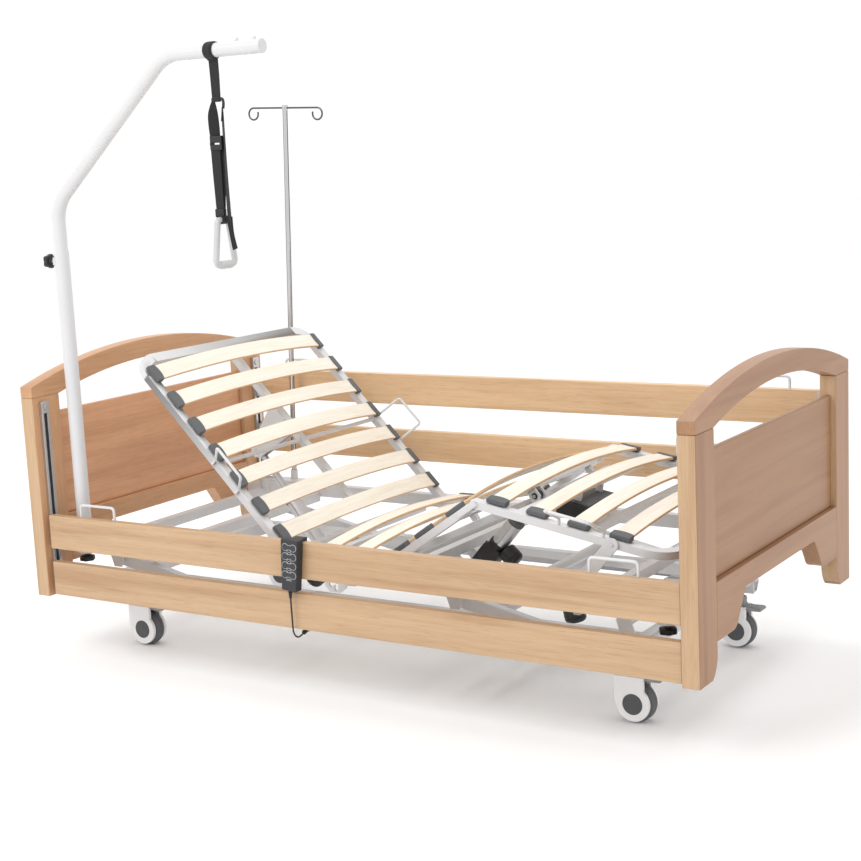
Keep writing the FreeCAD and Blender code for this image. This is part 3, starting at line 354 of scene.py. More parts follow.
# ---- materials ---------------------------------------------------------------------------------
def linear(*rgb):
    return tuple((c / 255 / 12.92) if c <= 10 else ((c / 255 + 0.055) / 1.055) ** 2.4
                 for c in rgb) + (1.0,)


class Paint:
    """A node material under construction."""

    def __init__(self, name):
        self.material = bpy.data.materials.new(name)
        self.material.use_nodes = True
        self.tree = self.material.node_tree
        self.shader = self.tree.nodes["Principled BSDF"]
        self.coords = self.node("ShaderNodeTexCoord").outputs["Object"]

    def node(self, kind, **inputs):
        made = self.tree.nodes.new(kind)
        for key, value in inputs.items():
            if key in made.inputs:
                self.put(made.inputs[key], value)
            else:
                setattr(made, key, value)
        return made

    def put(self, socket, value):
        if isinstance(value, bpy.types.NodeSocket):
            self.tree.links.new(value, socket)
        else:
            socket.default_value = value

    def stretched(self, scale):
        return self.node("ShaderNodeMapping", Vector=self.coords, Scale=scale).outputs["Vector"]

    def noise(self, scale, detail=3.0, rough=0.5, vector=None, warp=0.0):
        made = self.node("ShaderNodeTexNoise", Vector=vector or self.coords, Scale=scale,
                         Detail=detail, Roughness=rough, Distortion=warp)
        return made.outputs["Fac"]

    def ramp(self, fac, *stops):
        made = self.node("ShaderNodeValToRGB", Fac=fac)
        ramp = made.color_ramp
        while len(ramp.elements) < len(stops):
            ramp.elements.new(0.5)
        for element, (at, colour) in zip(ramp.elements, stops):
            element.position = at
            element.color = colour
        return made.outputs["Color"]

    def mix(self, fac, a, b, kind="MIX"):
        made = self.node("ShaderNodeMix", data_type="RGBA", blend_type=kind)
        self.put(made.inputs[0], fac)
        self.put(made.inputs[6], a)
        self.put(made.inputs[7], b)
        return made.outputs[2]

    def bump(self, height, strength, distance):
        made = self.node("ShaderNodeBump", Height=height, Strength=strength, Distance=distance)
        self.tree.links.new(made.outputs["Normal"], self.shader.inputs["Normal"])

    def set(self, **values):
        for key, value in values.items():
            self.put(self.shader.inputs[key.replace("_", " ")], value)
        return self.material

    def range(self, fac, low, high):
        made = self.node("ShaderNodeMapRange", Value=fac)
        made.inputs["To Min"].default_value = low
        made.inputs["To Max"].default_value = high
        return made.outputs["Result"]


def wood(name, grain, light, dark, pore, rough=0.42, bumps=0.25):
    """Laminate with a printed oak-beech figure that runs along one axis."""
    p = Paint(name)
    along = [1.0, 1.0, 1.0]

    def squeeze(cross, length):
        scale = [cross] * 3
        scale[grain] = length
        return p.stretched(tuple(scale))

    figure = p.noise(1.0, 4.0, 0.55, squeeze(14.0, 0.9), 0.9)
    streaks = p.noise(1.0, 6.0, 0.72, squeeze(120.0, 2.4), 0.2)
    pores = p.noise(1.0, 2.0, 0.5, squeeze(620.0, 14.0))
    base = p.ramp(figure, (0.3, dark), (0.52, light), (0.72, tuple(c * 1.06 for c in light[:3]) + (1,)))
    shade = p.ramp(streaks, (0.32, (0.80, 0.76, 0.70, 1)), (0.6, (1, 1, 1, 1)))
    base = p.mix(0.55, base, shade, "MULTIPLY")
    dash = p.ramp(pores, (0.58, (0, 0, 0, 1)), (0.66, (1, 1, 1, 1)))
    base = p.mix(p.range(dash, 0.0, 0.30), base, pore)
    p.bump(streaks, bumps, 0.0004)
    return p.set(Base_Color=base, Roughness=p.range(streaks, rough - 0.05, rough + 0.08),
                 Coat_Weight=0.12, Coat_Roughness=0.35)


def plain(name, colour, rough, metal=0.0, grit=900.0, bumps=0.12, vary=0.06, coat=0.0,
          coat_rough=0.1, stretch=None):
    """Moulded, painted or bare metal: a slight mottle, a fine surface and uneven gloss."""
    p = Paint(name)
    vector = p.stretched(stretch) if stretch else p.coords
    mottle = p.noise(7.0, 3.0, 0.6)
    fine = p.noise(1.0 if stretch else grit, 4.0, 0.6, vector)
    low = tuple(c * (1 - vary) for c in colour[:3]) + (1,)
    high = tuple(min(1.0, c * (1 + vary * 0.5)) for c in colour[:3]) + (1,)
    base = p.ramp(mottle, (0.35, low), (0.65, high))
    p.bump(fine, bumps, 0.0003)
    return p.set(Base_Color=base, Metallic=metal,
                 Roughness=p.range(fine, max(0.03, rough - 0.05), rough + 0.07),
                 Coat_Weight=coat, Coat_Roughness=coat_rough)


def webbing(name):
    """Woven strap: crossed threads about a millimetre apart."""
    p = Paint(name)
    lines = []
    for direction in ("Z", "DIAGONAL"):
        wave = p.node("ShaderNodeTexWave", Vector=p.coords, Scale=420.0, Distortion=0.6,
                      Detail=2.0, bands_direction=direction)
        lines.append(wave.outputs["Fac"])
    both = p.mix(0.5, lines[0], lines[1])
    base = p.ramp(both, (0.25, linear(13, 13, 14)), (0.75, linear(38, 38, 40)))
    p.bump(both, 0.6, 0.0005)
    return p.set(Base_Color=base, Roughness=0.82, Sheen_Weight=0.1, Sheen_Roughness=0.5)


RAIL_LIGHT, RAIL_DARK, PORE = linear(196, 163, 128), linear(180, 143, 107), linear(132, 96, 64)
RAIL_WOOD = wood("rail_laminate", X, RAIL_LIGHT, RAIL_DARK, PORE)
# The far rails take a lighter copy of the rail laminate: painted light, standing in for the light they
# lose in the bed's shade.
FAR_RAIL_WOOD_PAINTED_LIGHT = wood("far_rail_laminate_painted_light", X, linear(222, 187, 147), linear(208, 170, 129), PORE)
POST_EDGE = wood("post_edge_laminate", Z, RAIL_LIGHT, RAIL_DARK, PORE)
# Posts, arch and panel of each board: the head board is painted lighter than the foot board, painted
# light standing in for the light it loses where the bed shades it.
BOARD_WOOD_HEAD_PAINTED_LIGHTER = {}
for label, tones in (("head", ((203, 156, 116), (186, 138, 99), (216, 163, 124), (198, 145, 106))),
                     ("foot", ((165, 123, 90), (149, 106, 74), (161, 118, 82), (147, 103, 68)))):
    frame_light, frame_dark, panel_light, panel_dark = (linear(*tone) for tone in tones)
    BOARD_WOOD_HEAD_PAINTED_LIGHTER[label] = (wood(label + "_post_laminate", Z, frame_light, frame_dark, PORE),
                         wood(label + "_cross_laminate", Y, frame_light, frame_dark, PORE),
                         wood(label + "_panel_laminate", Y, panel_light, panel_dark, PORE))
SLAT_FACE = wood("slat_birch", Y, linear(240, 232, 218), linear(234, 224, 208),
                 linear(228, 208, 180), 0.5, 0.10)
SLAT_EDGE = wood("slat_edge", Y, linear(226, 190, 146), linear(206, 164, 118),
                 linear(160, 116, 74), 0.6, 0.4)
WHITE = plain("white_powder_coat", linear(212, 212, 213), 0.36, grit=1400, bumps=0.0, vary=0.02,
              coat=0.25, coat_rough=0.25)
CHROME = plain("chrome", linear(206, 206, 208), 0.12, 1.0, grit=300, bumps=0.0, vary=0.02)
# A darker chrome: painted reflection, the dark bands a mirror finish would show.
CHROME_PAINTED_REFLECTION = plain("chrome_painted_reflection", linear(104, 98, 96), 0.2, 1.0, grit=300, bumps=0.0, vary=0.02)
STEEL = plain("zinc_steel", linear(196, 197, 199), 0.30, 1.0, grit=500, bumps=0.06)
ALUMINIUM = plain("anodised_aluminium", linear(205, 207, 210), 0.32, 1.0, bumps=0.05,
                  stretch=(700, 700, 9))
EXTRUSION = plain("extruded_aluminium", linear(214, 214, 216), 0.36, 0.9, bumps=0.06,
                  stretch=(9, 500, 500))
BLACK = plain("black_plastic", linear(31, 31, 33), 0.46, grit=1500, bumps=0.25, vary=0.15)
DARK = plain("charcoal_rubber", linear(88, 89, 91), 0.58, grit=1100, bumps=0.25, vary=0.10)
# A dark grey for the rail guides' recess: painted shade.
RECESS_PAINTED_SHADE = plain("recess_painted_shade", linear(52, 52, 54), 0.7, vary=0.1)
HANDSET = plain("handset_plastic", linear(50, 50, 53), 0.6, grit=1600, bumps=0.2, vary=0.08)
KEY = plain("key_rubber", linear(60, 60, 63), 0.66, grit=1200, bumps=0.2)
RIM = plain("key_rim", linear(186, 187, 190), 0.5, vary=0.03)
SHELL = plain("castor_shell", linear(232, 232, 233), 0.22, grit=600, bumps=0.03, vary=0.03,
              coat=0.5, coat_rough=0.08)
TYRE = plain("castor_tyre", linear(92, 92, 95), 0.55, grit=900, bumps=0.2, vary=0.08)
HUB = plain("castor_cap", linear(74, 75, 78), 0.5, grit=1200, bumps=0.2)
PEDAL = plain("pedal_plastic", linear(136, 138, 142), 0.42, grit=1200, bumps=0.12)
GRIP = plain("grip_plastic", linear(194, 194, 195), 0.36, grit=800, bumps=0.06, vary=0.03,
             coat=0.2)
CORD = plain("cord_rubber", linear(34, 34, 36), 0.5, grit=1800, bumps=0.2)
STRAP = webbing("strap_webbing")


# ---- camera and cord ---------------------------------------------------------------------------
camera_data = bpy.data.cameras.new("camera")
camera_data.lens = 68.16
camera_data.sensor_width = 36.0
camera_data.clip_end = 60.0
camera = bpy.data.objects.new("camera", camera_data)
az, el, roll = math.radians(32.73), math.radians(9.69), math.radians(-2.76)
forward = Vector((-math.sin(az) * math.cos(el), math.cos(az) * math.cos(el), -math.sin(el)))
level = forward.cross(Vector((0, 0, 1))).normalized()
above = level.cross(forward)
right = level * math.cos(roll) + above * math.sin(roll)
upward = right.cross(forward)
turn = Matrix((right, upward, -forward)).transposed().to_4x4()
camera.matrix_world = Matrix.Translation((2.501, -3.868, 1.423)) @ turn
bpy.context.scene.collection.objects.link(camera)
bpy.context.scene.camera = camera

ROUTE = [(-104.5, -542, 270), (-104.5, -542, 250), (-104, -541.5, 222), (-104, -541, 194),
         (-104, -539.5, 174), (-103.5, -529, 159.5), (-103, -513, 155.5), (-102, -499, 162.5)]
CORD_D = 0.0045


def cord_mesh():
    curve = bpy.data.curves.new("cord_line", "CURVE")
    curve.dimensions = "3D"
    spline = curve.splines.new("NURBS")
    spline.points.add(len(ROUTE) - 1)
    for point, place_at in zip(spline.points, ROUTE):
        point.co = (*[c * 0.001 for c in place_at], 1.0)
    spline.order_u = 3
    spline.use_endpoint_u = True
    curve.resolution_u = 16
    holder = bpy.data.objects.new("cord_line", curve)
    bpy.context.scene.collection.objects.link(holder)
    line = bpy.data.meshes.new_from_object(holder)
    points = [tuple(v.co * 1000) for v in line.vertices]
    bpy.data.objects.remove(holder)
    return points


cord_points = cord_mesh()
cord_piece = Piece("handset_cord_shown", CORD)
cord_piece.add(sweep(cord_points, circle(CORD_D * 500, 14)))
bmesh.ops.scale(cord_piece.bm, vec=(0.001,) * 3, verts=cord_piece.bm.verts)
cord = finish_mesh("handset_cord_shown", cord_piece.bm, (CORD,))
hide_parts("handset_cord")
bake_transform(cord)


# ---- boards ------------------------------------------------------------------------------------
def board(name, end):
    x = sorted((end * BOARD_IN, end * BOARD_OUT))
    middle = end * (BOARD_IN + BOARD_OUT) / 2
    # The head board's woods are the lighter set: painted light.
    post_wood, cross_wood, panel_wood = BOARD_WOOD_HEAD_PAINTED_LIGHTER[name[:4]]
    shown = Piece(name + "_frame_shown", post_wood, POST_EDGE, cross_wood)
    post = [(BOARD_HALF, 175), (BOARD_HALF, 770), (POST_IN, 770), (POST_IN, 236)]
    post += arc((POST_IN + 77, 236), 77, 180, 232.4, 14)[1:]
    for side in (-1, 1):
        outline = [(side * a, b) for a, b in post]
        shown.add(prism(outline, X, *x), 0, 2.2, 3,
                  paint=lambda f: 1 if abs(f.normal.y) > 0.75 else 0)
    outer = three_point((-BOARD_HALF, 802), (0, 887), (BOARD_HALF, 802), 72)
    inner = three_point((POST_IN, 770), (0, 829), (-POST_IN, 770), 64)
    shown.add(prism(outer + [(BOARD_HALF, 770.3)] + [(a, b + 0.3) for a, b in inner]
                    + [(-BOARD_HALF, 770.3)], X, *x), 2, 2.2, 3)
    half = [(POST_IN, 261)] + [(328, 261)] + three_point((328, 261), (306, 268), (292, 285), 8)[1:]
    half += three_point((254, 338), (247, 346), (236, 349), 8)
    shown.add(prism([(POST_IN, 405)] + half + [(-a, b) for a, b in half[::-1]]
                    + [(-POST_IN, 405)], X, *x), 2, 2.0, 3)
    shown.done("upper_frame", "board_laminate", name + "_frame")
    panel = Piece(name + "_panel_shown", panel_wood)
    panel.add(box((middle - 8, middle + 8), (-POST_IN, POST_IN), (405, 717)), 0, 4.0, 3)
    panel.done("upper_frame", "board_laminate", name + "_panel")


board("head_board", -1)
board("foot_board", 1)

# Guide faces in the recess beside the boards take the dark grey: painted shade.
softened("rail_guides", "upper_frame", "guide_aluminium", 0.7, (ALUMINIUM, RECESS_PAINTED_SHADE),
         lambda c, n: 1 if abs(c.x) > 1010.5 and abs(c.x) < 1013 else 0)
for end_name, end, side_name, side in CORNERS:
    label = "release_button_" + end_name + "_" + side_name
    button = Piece(label + "_shown", STEEL, BLACK)
    face = end * (BOARD_IN - 15)
    button.add(lathe([(0, 0), (0, 5.0), (0.6, 6.2), (0.4, 8.2), (1.2, 9), (7, 9), (7, 0)],
                     (face, side * 496, 740), (end, 0, 0), 36), 0)
    button.done(label, "black_plastic", label)


# ---- side rails --------------------------------------------------------------------------------
def side_rail(name, side, z, hoops):
    """A board with a thinner foot end, its two gliders and its wire hand hoops."""
    # Far rails (side > 0) get the lighter copy of the laminate: painted light.
    rail = Piece(name + "_shown", FAR_RAIL_WOOD_PAINTED_LIGHT if side > 0 else RAIL_WOOD, RIM, WHITE)
    thin_x = RAIL_X[1] + 9
    plan = [(RAIL_X[0], RAIL_Y[0]), (RAIL_X[1], RAIL_Y[0]), (RAIL_X[1], 511.5), (thin_x, 511.5),
            (thin_x, RAIL_Y[1]), (RAIL_X[0], RAIL_Y[1])]
    rail.add(prism([(a, side * b) for a, b in plan], Z, z, z + RAIL_H), 0, 2.6, 4)
    for end in (-1, 1):
        low, high = z + 6, z + RAIL_H - 6
        rail.add(box(sorted((end * 984, end * 998)), sorted((side * 491.5, side * RAIL_Y[0])),
                     (low, high)), 1, 1.2)
        rail.add(box(sorted((end * 997, end * 1009)), sorted((side * 491.5, side * 501.5)),
                     (low, high)), 1, 1.0)
    for pair in hoops:
        wire_y, foot = side * (RAIL_Y[0] + 6), z + RAIL_H
        top = foot + 36
        route = [(pair[0], wire_y, foot), (pair[0], wire_y, top), (pair[1], wire_y, top),
                 (pair[1], wire_y, foot)]
        rail.add(sweep(bent(route, [11, 11]), circle(4, 16)), 2)
    return rail


HOOPS = ((-881.0, -751.0), (771.0, 899.0))
side_rail("near_upper_rail", -1, 322, HOOPS).done("near_upper_rail", "rail_laminate",
                                                 "near_upper_rail")
near_lower = side_rail("near_lower_rail", -1, 182, ())
near_lower.add(box((-109, -95), (-503, -474), (182, 188)), 1, 0.8)
near_lower.add(box((-109, -95), (-488, -474), (162, 182)), 1, 0.8)
near_lower.done("near_lower_rail", "rail_laminate", "near_lower_rail")
side_rail("far_upper_rail", 1, 616, HOOPS).done("far_upper_rail", "rail_laminate",
                                               "far_upper_rail")
side_rail("far_lower_rail", 1, 432, ()).done("far_lower_rail", "rail_laminate", "far_lower_rail")


# ---- steel frames ------------------------------------------------------------------------------
for node, body, width in (("base_frame", "base", 2.0), ("lift_arm_head", "lift_arm_head", 2.5),
                          ("lift_arm_foot", "lift_arm_foot", 2.5),
                          ("upper_frame", "upper_frame", 2.0),
                          ("backrest_frame", "backrest", 2.2), ("thigh_frame", "thigh_section", 2.0),
                          ("calf_frame", "calf_section", 2.2), ("calf_links", "calf_links", 1.2)):
    softened(node, body, "white_steel", width, (WHITE, STEEL))


# ---- slats and their caps ----------------------------------------------------------------------
def slat_shape(x):
    section = rounded(SLAT_W, 8, 2.6, 3)
    route = []
    for k in range(33):
        y = -385 + 770 * k / 32
        route.append((x, y, PIVOT_Z + 16 + 4 + 27 * (1 - (y / 385) ** 2)))
    return sweep(route, section, up=(0, 0, 1))


def slat_paint(face):
    return 1 if abs(face.normal.x) > 0.55 or abs(face.normal.y) > 0.8 else 0


def cap_parts(piece, x, side, at, mat):
    """A rubber holder: its top slopes down to the outside, its inner edge follows an arc."""
    z, top = PIVOT_Z + CAP_N[0], PIVOT_Z + CAP_N[1]
    half, inner = CAP_LEN / 2, CAP_Y[0]
    plan = [(x + half, CAP_Y[1]), (x - half, CAP_Y[1])]
    plan += three_point((x - half, inner + 5), (x, inner), (x + half, inner + 5), 8)
    verts, faces = prism([(a, side * b) for a, b in plan], Z, z, top)
    verts = [(a, b, c - 0.17 * (abs(b) - inner) if c > z else c) for a, b, c in verts]
    piece.add((verts, faces), mat, 2.4, 3, at)
    piece.add(box((x - 12, x + 12), sorted((side * 384, side * 396)), (z - 2, z + 1)), mat, 0.5,
              1, at)


SECTIONS = (
    ("backrest", "backrest", AT_BACK, [BACK_X - 68 - 100.7 * k for k in range(7)], True),
    ("calf", "calf_section", AT_CALF,
     [THIGH_X + THIGH_LEN + 58.5 + 116.2 * k for k in range(4)], True),
    ("thigh", "thigh_section", AT_THIGH, [THIGH_X + s for s in (72, 165, 284)], False),
    ("seat", "upper_frame", FLAT, [-106.0, 0.0], False))
for name, body, at, places, apart in SECTIONS:
    slats = Piece(name + "_slats_shown", SLAT_FACE, SLAT_EDGE, DARK)
    caps = Piece(name + "_slat_caps_shown", DARK) if apart else slats
    for x in places:
        slats.add(slat_shape(x), at=at, paint=slat_paint)
        for side in (-1, 1):
            cap_parts(caps, x, side, at, 0 if apart else 2)
    slats.done(body, "slat_wood", name + "_slats")
    if apart:
        caps.done(body, "cap_rubber", name + "_slat_caps")


# ---- castors -----------------------------------------------------------------------------------
def castor(end_name, side_name, side):
    corner = end_name + "_" + side_name
    sx, y = STEM[end_name], side * CASTOR_Y
    wx = sx + TRAIL
    fork = Piece("castor_fork_" + corner + "_shown", SHELL, BLACK, HUB, STEEL)
    fork.add(box((sx - 28, sx + 28), (y - 19, y + 19), (105, 133)), 1, 4, 3)
    fork.add(rod((sx, y, 132), (sx, y, 176), 11), 3)
    fork.add(rod((sx, y, 133), (sx, y, 137), 17), 3)
    fork.add(rod((wx, y - 19, WHEEL_R), (wx, y + 19, WHEEL_R), 5), 3)
    fork.add(rod((sx + 38, y - 19, 117), (sx + 38, y + 19, 117), 3), 3)
    outline = [(wx - 50, 122), (wx + 30, 122), (wx + 30, 84.5)]
    outline += arc((wx, WHEEL_R), 45, 46, -168, 40)
    outline += [(wx - 48.5, 56), (wx - 50, 64)]
    for way in (-1, 1):
        ys = sorted((y + way * 18.5, y + way * 29))
        fork.add(prism(outline, Y, *ys), 0, 3.2, 4)
        fork.add(lathe([(0, 0), (0, 27), (1.2, 27), (2.2, 26), (2.4, 22), (1.6, 19), (1.4, 0)],
                       (wx, y + way * 28.6, WHEEL_R), (0, way, 0), 48), 2)
    fork.done("castor_fork_" + corner, "white_shell", "castor_fork_" + corner)
    wheel = Piece("castor_wheel_" + corner + "_shown", TYRE, HUB)
    tread = [(-16, 38), (-16, 43), (-15, 47), (-12, 49.8), (-7, 51), (-1.6, 51), (-0.9, 49.4),
             (0.9, 49.4), (1.6, 51), (7, 51), (12, 49.8), (15, 47), (16, 43), (16, 38)]
    wheel.add(lathe(tread + [tread[0]], (wx, y, WHEEL_R), (0, 1, 0), 72), 0)
    web = [(-14, 38.2), (-11, 36), (-9, 14), (-15.5, 12), (-15.5, 5.1), (15.5, 5.1), (15.5, 12),
           (9, 14), (11, 36), (14, 38.2)]
    wheel.add(lathe(web + [web[0]], (wx, y, WHEEL_R), (0, 1, 0), 48), 1)
    wheel.done("castor_wheel_" + corner, "castor_tyre", "castor_wheel_" + corner)
    pedal = Piece("brake_pedal_" + corner + "_shown", PEDAL)
    neck = [(30, 112), (56, 111), (58, 123), (48, 124), (45, 131), (46, 141), (43, 148), (34, 148),
            (31, 142)]
    pedal.add(prism([(sx + a, b) for a, b in neck], Y, y - 14, y + 14), 0, 2.5, 3)
    tread = [(50, 113), (75, 111.5), (96, 112), (100, 115), (99, 120), (92, 122.6), (70, 122),
             (52, 123)]
    pedal.add(prism([(sx + a, b) for a, b in tread], Y, y - 21, y + 21), 0, 3.0, 3)
    for k in range(4):
        x = sx + 68 + 7 * k
        pedal.add(box((x, x + 2.4), (y - 15, y + 15), (121.4, 122.9)), 0, 0.5, 1)
    pedal.done("brake_pedal_" + corner, "pedal_grey", "brake_pedal_" + corner)


for end_name, end, side_name, side in CORNERS:
    castor(end_name, side_name, side)


# ---- actuators and control box -----------------------------------------------------------------
def actuator(name, motor_at, lug, tube_len, tube_r, motor, reach, pin_half=0.0, hang=-1):
    """Housing and rod along +X from the motor's pivot, then turned onto the lug."""
    x0, z0 = motor_at
    mx, motor_r, motor_len = x0 + motor[0], motor[1], motor[2]
    gear_end = x0 + max(92, motor[0] - 6)
    length = math.hypot(lug[0] - x0, lug[1] - z0)
    at = turn_about(x0, z0, -math.degrees(math.atan2(lug[1] - z0, lug[0] - x0)))
    body = Piece(name + "_housing_shown", BLACK, EXTRUSION, STEEL, DARK)
    eye = [(x0 + 27, z0 - 12)] + arc((x0, z0), 13, 250, 110, 12) + [(x0 + 27, z0 + 12)]
    body.add(prism(eye, Y, -29, 29), 0, 2, 2, at)
    gear = [(x0 + 26, z0 - 24), (x0 + 34, z0 - 30), (gear_end - 2, z0 - 30), (gear_end, z0 - 26),
            (gear_end, z0 + 20), (gear_end - 12, z0 + 30), (x0 + 34, z0 + 30), (x0 + 26, z0 + 22)]
    body.add(prism(gear, Y, -29, 29), 0, 4, 3, at)
    for level in (-17, 17):
        body.add(box((x0 + 33, gear_end - 6), (level - 0.7, level + 0.7), (z0 - 30.6, z0 + 30.6)),
                 0, 0.3, 1, at)
    body.add(lathe([(0, 27), (3, 28.6), (12, 27.6), (14, 25.5), (14, 0), (0, 0)],
                   (gear_end - 2, 0, z0), (1, 0, 0), 40), 0, 0, 1, at)
    section = []
    for k in range(72):
        a = 2 * math.pi * k / 72
        notch = 2.2 if k % 18 in (0, 1, 17) else 0.0
        section.append(((tube_r - notch) * math.cos(a), (tube_r - notch) * math.sin(a)))
    body.add(sweep([(gear_end + 8, 0, z0), (x0 + tube_len - 8, 0, z0)], section), 1, 0.3, 1, at)
    body.add(lathe([(0, 0), (0, tube_r + 1), (7, tube_r + 1.4), (9, tube_r - 1.5), (9, 12.4),
                    (9, 0)], (x0 + tube_len - 9, 0, z0), (1, 0, 0), 40), 3, 0, 1, at)
    barrel = [(0, 0), (0, motor_r - 2), (4, motor_r), (motor_len - 12, motor_r),
              (motor_len - 11, motor_r - 1.4), (motor_len - 9, motor_r - 1.4),
              (motor_len - 8, motor_r)]
    barrel += [(motor_len - 8 + b, motor_r - 14 + a) for a, b in arc((0, 0), 14, 0, 90, 10)[1:]]
    barrel.append((motor_len + 6, 0))
    body.add(lathe(barrel, (mx, 0, z0 + hang * 28), (0, 0, hang), 48), 0, 0, 1, at)
    half = pin_half or 31
    for way in (-1, 1):
        body.add(hexagon((x0, way * (29 if pin_half else 28), z0), (0, way, 0), 16,
                         half - 29 + 1 if pin_half else 4), 2, 0, 1, at)
    body.done(name + "_housing", "black_plastic", name + "_housing")
    moving = Piece(name + "_rod_shown", STEEL, BLACK)
    inner = x0 + tube_len - 12 - reach
    moving.add(rod((inner, 0, z0), (x0 + length - 12, 0, z0), 11), 0, 0, 1, at)
    tip = [(x0 + length - 16, z0 - 11)] + arc((x0 + length, z0), 12, 270, 450, 14)
    tip += [(x0 + length - 16, z0 + 11)]
    moving.add(prism(tip, Y, -12, 12), 1, 1.6, 2, at)
    moving.add(rod((x0 + length, -22, z0), (x0 + length, 22, z0), 5), 0, 0, 1, at)
    moving.done(name + "_rod", "bright_steel", name + "_rod")


back_lug = swung((BACK_X - 428.8, PIVOT_Z - 146.2), (BACK_X, PIVOT_Z), -BACK_REST)
leg_lug = swung((THIGH_X + 284.7, PIVOT_Z - 29.3), (THIGH_X, PIVOT_Z), THIGH_REST)
actuator("lift_actuator", (392, 190), (745, 256), 300, 20, (59, 31, 45), 93)
actuator("back_actuator", (-320, 170), back_lug, 290, 24, (59, 31, 75), 67, 45, hang=1)
actuator("leg_actuator", (150, 235), leg_lug, 212, 24, (118, 27, 42), 4)

knee_flat = THIGH_X + THIGH_LEN
control = Piece("control_box_shown", BLACK, DARK)
control.add(box((knee_flat + 72, knee_flat + 172), (-82, 98), (PIVOT_Z - 79, PIVOT_Z - 34)), 0, 5,
            3, AT_CALF)
control.add(box((knee_flat + 78, knee_flat + 166), (-76, 92), (PIVOT_Z - 35, PIVOT_Z - 32.5)), 1,
            1, 2, AT_CALF)
control.done("calf_section", "black_plastic", "control_box")

knobs = Piece("clamp_knobs_shown", BLACK, STEEL)
for end_name, end, side_name, side in CORNERS:
    kx, ky = end * 940, side * 440
    lobes = []
    for k in range(72):
        a = 2 * math.pi * k / 72
        r = 21.4 + 1.5 * math.cos(6 * a)
        lobes.append((kx + r * math.cos(a), ky + r * math.sin(a)))
    knobs.add(prism(lobes, Z, 271, 285), 0, 2.5, 3)
    knobs.add(lathe([(0, 12), (2, 9), (9, 8), (9, 0), (0, 0)], (kx, ky, 284), (0, 0, 1), 28), 0)
    knobs.add(rod((kx, ky, 286), (kx, ky, 296), 6), 1)
knobs.done("upper_frame", "black_plastic", "clamp_knobs")


# ---- lifting pole, strap and grip --------------------------------------------------------------
px, py = POLE
post = Piece("lifting_pole_post_shown", WHITE)
post.add(lathe([(306, 0), (306, 21), (1188, 21), (1190, 20), (1190, 19.1), (1150, 19.1),
                (1150, 0)], (px, py, 0), (0, 0, 1), 48), 0)
post.add(box((px - 31, px - 20), (py - 8, py + 8), (1151, 1173)), 0, 1.5, 2)
post.done("upper_frame", "white_steel", "lifting_pole_post")

arm = Piece("lifting_pole_arm_shown", WHITE, STEEL)
route = [(px, py, 1160), (px, py, 1323), (-494, py, 1714), (-161, py, 1714)]
arm.add(sweep(bent(route, [110, 130], 3.0), circle(19, 40), up=(0, 1, 0)), 0, 0.8, 2)
for x in (-245, -187):
    arm.add(lathe([(0, 5), (6, 5), (8, 3.6), (8, 0), (0, 0)], (x, py, 1732.5), (0, 0, 1), 20), 0)
arm.done("lifting_pole_arm", "white_steel", "lifting_pole_arm")

knob = Piece("lifting_pole_knob_shown", BLACK, STEEL)
knob.add(rod((px - 31.4, py, 1162), (px - 41, py, 1162), 6), 1)
star = []
for k in range(80):
    a = 2 * math.pi * k / 80
    r = 19.6 + 1.9 * math.cos(5 * a)
    star.append((py + r * math.cos(a), 1162 + r * math.sin(a)))
knob.add(prism(star, X, px - 58, px - 44), 0, 2.5, 3)
knob.add(lathe([(0, 11), (5, 9), (5, 0), (0, 0)], (px - 45, py, 1162), (1, 0, 0), 28), 0)
knob.done("lifting_pole_knob", "black_plastic", "lifting_pole_knob")


def smooth(points, steps=5):
    """A soft line through a few points."""
    pts = [Vector(p) for p in points]
    out = []
    for k in range(len(pts) - 1):
        a, b = pts[max(k - 1, 0)], pts[k]
        c, d = pts[k + 1], pts[min(k + 2, len(pts) - 1)]
        for j in range(steps):
            t = j / steps
            out.append(0.5 * (2 * b + (c - a) * t + (2 * a - 5 * b + 4 * c - d) * t ** 2
                              + (3 * b - a - 3 * c + d) * t ** 3))
    return out + [pts[-1]]


def strip(left, right, thick):
    """Flat webbing between its two edges."""
    left, right = smooth(left), smooth(right)
    last = len(left) - 1
    verts = []
    for k in range(last + 1):
        here = right[k] - left[k]
        ahead = left[min(k + 1, last)] + right[min(k + 1, last)]
        back = left[max(k - 1, 0)] + right[max(k - 1, 0)]
        out = here.cross(ahead - back).normalized() * thick / 2
        verts += [tuple(p) for p in (left[k] + out, right[k] + out, right[k] - out, left[k] - out)]
    faces = [(3, 2, 1, 0), tuple(4 * last + i for i in range(4))]
    for k in range(last):
        faces += [(4 * k + i, 4 * k + (i + 1) % 4, 4 * k + 4 + (i + 1) % 4, 4 * k + 4 + i)
                  for i in range(4)]
    return verts, faces


sx, sy = STRAP_X, POLE[1]
strap = Piece("trapeze_strap_shown", STRAP, BLACK)
strap.add(lathe([(-14, 19.4), (-14, 21.6), (-13, 22.4), (15, 22.4), (16, 21.6), (16, 19.4),
                 (-14, 19.4)], (sx, sy, 1714), (1, 0, 0), 56), 0)
strap.add(lathe([(-9, 22.0), (-9, 23.6), (10, 23.6), (10, 22.0), (-9, 22.0)],
                (sx + 1, sy, 1714), (1, 0, 0), 56), 0)
strap.add(box((sx - 13, sx + 17), (sy - 6, sy + 6), (1688, 1700)), 0, 2.5, 2)
strap.add(strip([(sx - 11, sy - 1, 1696), (sx - 9, sy - 1, 1650), (sx - 8, sy, 1592)],
                [(sx + 19, sy + 1, 1696), (sx + 20, sy + 1, 1650), (sx + 20, sy, 1592)], 3.2), 0,
          0.8, 2)
ring = smooth([(sx - 9, sy, 1587), (sx + 6, sy, 1584), (sx + 24, sy, 1588), (sx + 29, sy, 1578),
               (sx + 27, sy, 1562)])
